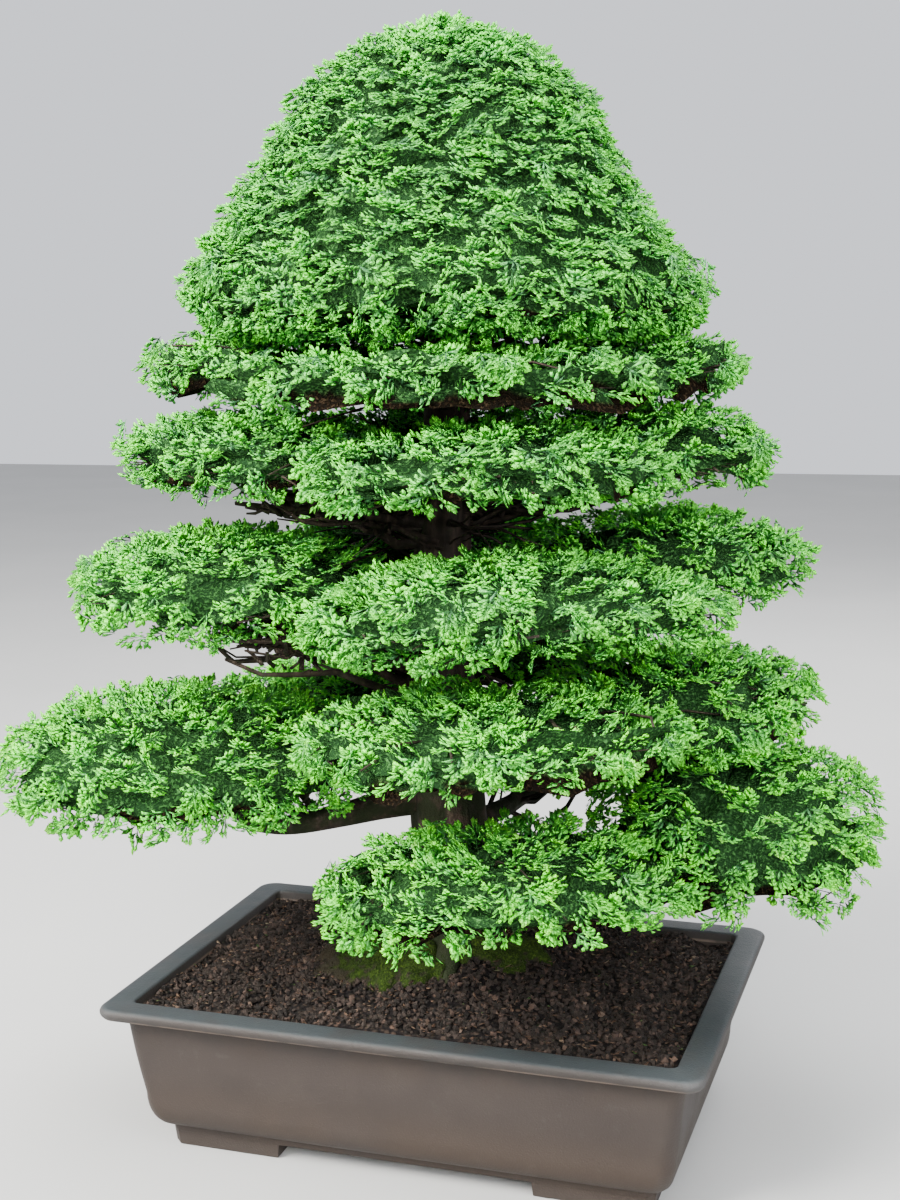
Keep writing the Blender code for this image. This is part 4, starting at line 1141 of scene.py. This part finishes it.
made_pads = [make_pad_sprays(pad, index) for index, pad in enumerate(PADS)]
print("sprays on pads:", sum(count for count, _ in made_pads))

# %% [markdown]
# ## The crown
#
# The crown is clipped as one dense dome. The same dealing of spots works on it, with a surface that runs from
# its flat skirt to its tip. Its sprays stand out almost level, so that from the side they read as short
# broken shelves with dark gaps between.

# %% Crown
# Height and radius of the clipped outline, then height and sideways lean, in millimetres.
CROWN = np.array([
    (615, 155), (626, 188), (650, 196), (690, 171), (720, 151),
    (752, 133), (788, 111), (816, 82), (834, 49), (846, 12),
]) / 1000
CROWN_LEAN = np.array([(630, 8), (655, 1), (690, 0), (740, 0), (800, 4), (850, 7)]) / 1000
CROWN_SPRAYS = 1750
UNDER_SKIRT = 0.15
SKIRT_RADIUS = 0.155
crown_weight = graph((0.0, 0.05), (0.10, 0.3), (0.16, 1.0), (1.0, 1.0))
crown_lift = graph((0.0, 0.10), (0.15, 0.60), (0.24, 0.82), (0.8, 0.80), (1.0, 0.90))
crown_depth = graph((0.0, 0.002), (0.12, 0.022), (0.20, 0.018), (1.0, 0.013))


def crown_surface(turn, climb):
    """Climb crosses the flat underside up to UNDER_SKIRT, then follows the clipped outline to the tip."""
    place = np.clip((climb - UNDER_SKIRT) / (1 - UNDER_SKIRT), 0, 1)
    stations = distances(CROWN)
    inner = np.clip(climb / UNDER_SKIRT, 0, 1)
    z, radius = (np.interp(place * stations[-1], stations, column) for column in CROWN.T)
    radius = np.where(climb < UNDER_SKIRT, SKIRT_RADIUS * inner, radius)
    z = np.where(climb < UNDER_SKIRT, 0.628 - 0.013 * inner, z)
    sway = 1 + 0.020 * np.sin(5 * turn + 40 * z) + 0.015 * np.sin(9 * turn - 95 * z)
    x = np.interp(z, *CROWN_LEAN.T) + radius * sway * np.cos(turn)
    y = 0.003 + radius * sway * np.sin(turn)
    return np.stack([x, y, z], axis=-1)


def make_crown():
    """The crown's sprays as a piece. It returns them, the crown's area and its heart."""
    random = np.random.default_rng(77)
    turn, climb, area = dealt_spots(crown_surface, CROWN_SPRAYS, crown_weight, random)
    spots, normals = with_normals(crown_surface, turn, climb)
    points, faces, tip, tone = grown_sprays(spots, normals, headed(turn), crown_lift(climb), random, 0.3)
    points[:, 2] = np.clip(points[:, 2], 0.606, 0.8505)
    crown = piece("crown_sprays", points, faces, leaf, tip=tip, tone=tone)
    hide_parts("crown")
    core_points, core_faces = heart(crown_surface, crown_depth, random, 64, 40)
    return crown, area, (core_points, core_faces, (core_points[:, 2] < 0.632).astype(float))


crown, crown_area, crown_heart = make_crown()
print("crown:", len(crown.data.polygons), "triangles on", round(crown_area, 3), "square metres")

# %% [markdown]
# The hearts of the pads and of the crown join into one piece with the dark finish. Its faces stay flat, so
# that it reads as broken shade and not as a smooth body.

# %% Hearts of the pads
core_points, core_faces, core_bare = gathered([core for _, core in made_pads] + [crown_heart])
hearts = piece("leaf_hearts", core_points, core_faces, shade, smooth=False, bare=core_bare)
print("hearts:", len(hearts.data.polygons), "triangles")

# %% [markdown]
# ## Twigs
#
# Under a pad the limb breaks up into boughs and twigs that fan out to the leaves. They show in the gaps
# between the tiers and from below, brown and a little crooked. Each twig is one thin tapering tube on a curve
# from the wood to a spot just inside the leaves, bowed upward by a chance amount.

# %% Twigs from limb to leaf
PAD_TWIGS = 40
CROWN_TWIGS = 60
TRUNK_TWIGS = 110
# The value `ridge` of all twigs, which are too thin to have hollows.
TWIG_RIDGE = 0.8
PAD_TWIG_INSET = 0.014
CROWN_TWIG_INSET = 0.012
# Where along its limb a pad's first bough may leave, where that isn't the usual share.
FIRST_BOUGH = {"pad_1_left": 0.60, "pad_1_right": 0.60}
USUAL_FIRST_BOUGH = 0.20
# Pads with old boughs that leave the trunk below them: the height they leave at, and how many.
RISING = {
    "pad_3_left": (0.350, 44), "pad_3_right": (0.370, 18),
    "pad_4_left": (0.458, 26), "pad_4_right": (0.462, 14),
}
twig_taper = graph((0.0, 1.0), (0.33, 0.80), (0.67, 0.60), (1.0, 0.36))


def twig_tubes(starts, ends, thin, thick, random, crooked=1.0, rings=4):
    """Thin tubes with three sides. Each follows a curve from its start to its end, bowed upward."""
    count = len(starts)
    thickness = random.uniform(thin, thick, count)
    share = np.linspace(0, 1, rings)[None, :, None]
    length = crooked * np.linalg.norm(ends - starts, axis=1)[:, None, None]
    bow = random.normal(0, 0.060, (count, 1, 3)) * length
    bow[..., 2] = np.abs(bow[..., 2])
    wiggle = random.normal(0, 0.035, (count, 2, 1, 3)) * length[:, None]
    line = starts[:, None, :] * (1 - share) + ends[:, None, :] * share
    line = line + bow * 4 * share * (1 - share)
    line = line + wiggle[:, 0] * np.sin(2 * np.pi * share) + wiggle[:, 1] * np.sin(3 * np.pi * share)
    along = unit(np.gradient(line, axis=1))
    side = unit(np.cross(along, np.array([0.31, 0.17, 0.94])))
    other = np.cross(along, side)
    radii = thickness[:, None] * twig_taper(share[0, :, 0])
    turn = 2 * np.pi / 3 * np.arange(3)
    spokes = np.cos(turn)[:, None] * side[:, :, None, :] + np.sin(turn)[:, None] * other[:, :, None, :]
    points = line[:, :, None, :] + radii[:, :, None, None] * spokes
    last = 3 * rings - 3
    faces = np.vstack([halved(ring_faces(rings, 3)), [(2, 1, 0), (last, last + 1, last + 2)]])
    faces = faces[None] + 3 * rings * np.arange(count)[:, None, None]
    return points.reshape(-1, 3), faces.reshape(-1, 3)


def forked(starts, ends, low, high, times, random):
    """Where finer twigs leave the boughs, between two shares of their length, and which bough each leaves."""
    share = random.uniform(low, high, (times * len(starts), 1))
    parent = random.integers(0, len(starts), times * len(starts))
    return starts[parent] * (1 - share) + ends[parent] * share, parent


def pad_twigs(pad, index):
    """Boughs from the limb to spots inside the pad, and finer twigs from those boughs."""
    random = np.random.default_rng(300 + index)
    line, _ = limb_line(pad)
    surface = pad_surface(pad)
    turn = random.uniform(0, 2 * np.pi, PAD_TWIGS)
    climb = random.uniform(0.12, 0.44, PAD_TWIGS)
    ends = sunk(surface, turn, climb, PAD_TWIG_INSET)
    share = random.uniform(FIRST_BOUGH.get(pad.name, USUAL_FIRST_BOUGH), 1.0, PAD_TWIGS)
    starts = np.stack([np.interp(share, LIMB_SHARES, line[:, k]) for k in range(3)], axis=-1)
    boughs = twig_tubes(starts, ends, 0.0012, 0.0028, random, rings=7)
    fork_starts, parent = forked(starts, ends, 0.3, 0.8, 2, random)
    fork_turn = turn[parent] + random.normal(0, 0.16, len(parent))
    fork_climb = climb[parent] + random.uniform(-0.10, 0.02, len(parent))
    fork_ends = sunk(surface, fork_turn, fork_climb, PAD_TWIG_INSET)
    forks = twig_tubes(fork_starts, fork_ends, 0.0006, 0.0011, random)
    return [boughs, forks]


def rising_boughs(pad, start_height, count):
    """Old boughs that leave the trunk lower down and climb to the pad's underside."""
    random = np.random.default_rng(int(1000 * start_height) + count)
    spread = math.radians(pad.heading) + random.uniform(-0.55, 0.55, count)
    reach = pad.inner + (pad.outer - pad.inner) * random.uniform(0.20, 0.62, count)
    starts = in_trunk(start_height + random.uniform(-0.006, 0.020, count))
    ends = headed(spread) * reach[:, None]
    ends[:, 2] = pad.low + random.uniform(0.0, 0.010, count)
    boughs = twig_tubes(starts, ends, 0.0018, 0.0056, random, 0.8, rings=7)
    fork_starts, parent = forked(starts, ends, 0.30, 0.90, 8, random)
    fork_ends = fork_starts + random.normal(0, 0.018, (len(parent), 3)) * (1, 1, 0.3) + (0, 0, 0.012)
    forks = twig_tubes(fork_starts, fork_ends, 0.0010, 0.0026, random, 1.2)
    return [boughs, forks]


def crown_twigs():
    """Twigs from the trunk out under the skirt of the crown."""
    random = np.random.default_rng(350)
    turn = random.uniform(0, 2 * np.pi, CROWN_TWIGS)
    ends = sunk(crown_surface, turn, random.uniform(0.06, 0.22, CROWN_TWIGS), CROWN_TWIG_INSET)
    height = random.uniform(0.600, 0.640, CROWN_TWIGS)
    starts = with_column(0.006 * headed(turn)[:, :2] + (0.005, 0.003), height)
    return [twig_tubes(starts, ends, 0.0012, 0.0024, random)]


def trunk_twigs():
    """Short dead twigs that leave the trunk between the tiers and curve outward, in a tangle."""
    random = np.random.default_rng(360)
    starts = in_trunk(random.uniform(0.345, 0.625, TRUNK_TWIGS))
    out = headed(random.uniform(0, 2 * np.pi, TRUNK_TWIGS))
    sweep = np.cross(out, UP) * random.normal(0, 0.030, (TRUNK_TWIGS, 1))
    ends = starts + out * random.uniform(0.050, 0.130, (TRUNK_TWIGS, 1)) + sweep
    ends[:, 2] += random.normal(0.004, 0.016, TRUNK_TWIGS)
    return [twig_tubes(starts, ends, 0.0010, 0.0022, random)]


def make_twigs():
    tubes = [tube for index, pad in enumerate(PADS) for tube in pad_twigs(pad, index)]
    tubes = tubes + crown_twigs() + trunk_twigs()
    for pad in PADS:
        if pad.name in RISING:
            tubes = tubes + rising_boughs(pad, *RISING[pad.name])
    points, faces = gathered(tubes)
    return piece("twigs", points, faces, bark, ridge=np.full(len(points), TWIG_RIDGE))


twigs = make_twigs()
print("twigs:", len(twigs.data.polygons), "faces")

# %% [markdown]
# ## Floor, light and camera
#
# The floor and its background are one pale sheet. A strong soft light stands high in front on the left, a
# broad one hangs over the tree, and weaker ones fill from the front, the right and the back, with pale light
# from the whole sky. The camera stands where the picture was taken from: a little to the right of the pot's
# front, looking slightly down, with a lens of 51 mm.

# %% Stage
FLOOR_HALF = 6.0
FLOOR_DROP = 0.0002
CAMERA_PLACE = (0.4094, -1.2227, 0.6219)
CAMERA_LENS = 51.0
CAMERA_TURN = 18.28
CAMERA_DOWN = 9.07
CAMERA_ROLL = -0.82
TREE_MIDDLE = (0, 0, 0.4)


def make_floor():
    finish = Finish("floor_paper", Roughness=0.9, Specular_IOR_Level=0.1)
    tint = finish.mixed(finish.noise(3.0, 2.0), (0.36, 0.358, 0.352), (0.41, 0.407, 0.400))
    finish.dressed(Base_Color=tint)
    corners = np.array([(-1, -1, 0), (1, -1, 0), (1, 1, 0), (-1, 1, 0)]) * FLOOR_HALF - (0, 0, FLOOR_DROP)
    floor = piece("floor", corners, np.array([[0, 1, 2, 3]]), finish.material, smooth=False)
    return floor


def soft_light(name, place, aim, size, power, colour, spread=180):
    """A round lamp at a place, turned to what it is aimed at. Its spread is in degrees."""
    data = bpy.data.lights.new(name, "AREA")
    data.shape = "DISK"
    data.size = size
    data.energy = power
    data.spread = math.radians(spread)
    data.color = colour
    light = placed(name, data)
    light.location = place
    direction = np.array(aim) - np.array(place)
    yaw = math.atan2(direction[1], direction[0])
    pitch = math.atan2(direction[2], math.hypot(direction[0], direction[1]))
    light.rotation_euler = (math.pi / 2 + pitch, 0.0, yaw - math.pi / 2)


def make_camera():
    data = bpy.data.cameras.new("camera")
    data.lens = CAMERA_LENS
    data.sensor_width = 36.0
    data.sensor_fit = "AUTO"
    camera = placed("camera", data)
    camera.location = CAMERA_PLACE
    aimed = Euler((math.radians(90 - CAMERA_DOWN), 0.0, math.radians(CAMERA_TURN))).to_quaternion()
    camera.rotation_euler = (aimed @ Quaternion((0.0, 0.0, 1.0), math.radians(CAMERA_ROLL))).to_euler()
    bpy.context.scene.camera = camera
    return camera


floor = make_floor()
soft_light("key_light", (-1.4, -1.9, 2.1), TREE_MIDDLE, 1.3, 360, (1.0, 0.98, 0.93))
soft_light("top_light", (0.1, -0.3, 3.0), TREE_MIDDLE, 2.4, 135, (0.97, 0.99, 1.0))
soft_light("front_light", (0.6, -2.4, 1.6), (0, 0, 0.52), 1.2, 9, (1.0, 0.99, 0.96), 40)
soft_light("fill_light", (1.9, -1.2, 1.2), TREE_MIDDLE, 1.8, 62, (0.93, 0.96, 1.0))
soft_light("back_light", (0.6, 2.0, 1.9), TREE_MIDDLE, 1.5, 60, (1.0, 1.0, 1.0))
world = bpy.data.worlds.new("sky_light")
world.use_nodes = True
world.node_tree.nodes["Background"].inputs["Color"].default_value = (0.90, 0.93, 1.0, 1.0)
world.node_tree.nodes["Background"].inputs["Strength"].default_value = 1.15
bpy.context.scene.world = world
camera = make_camera()
print("camera at", tuple(camera.location))
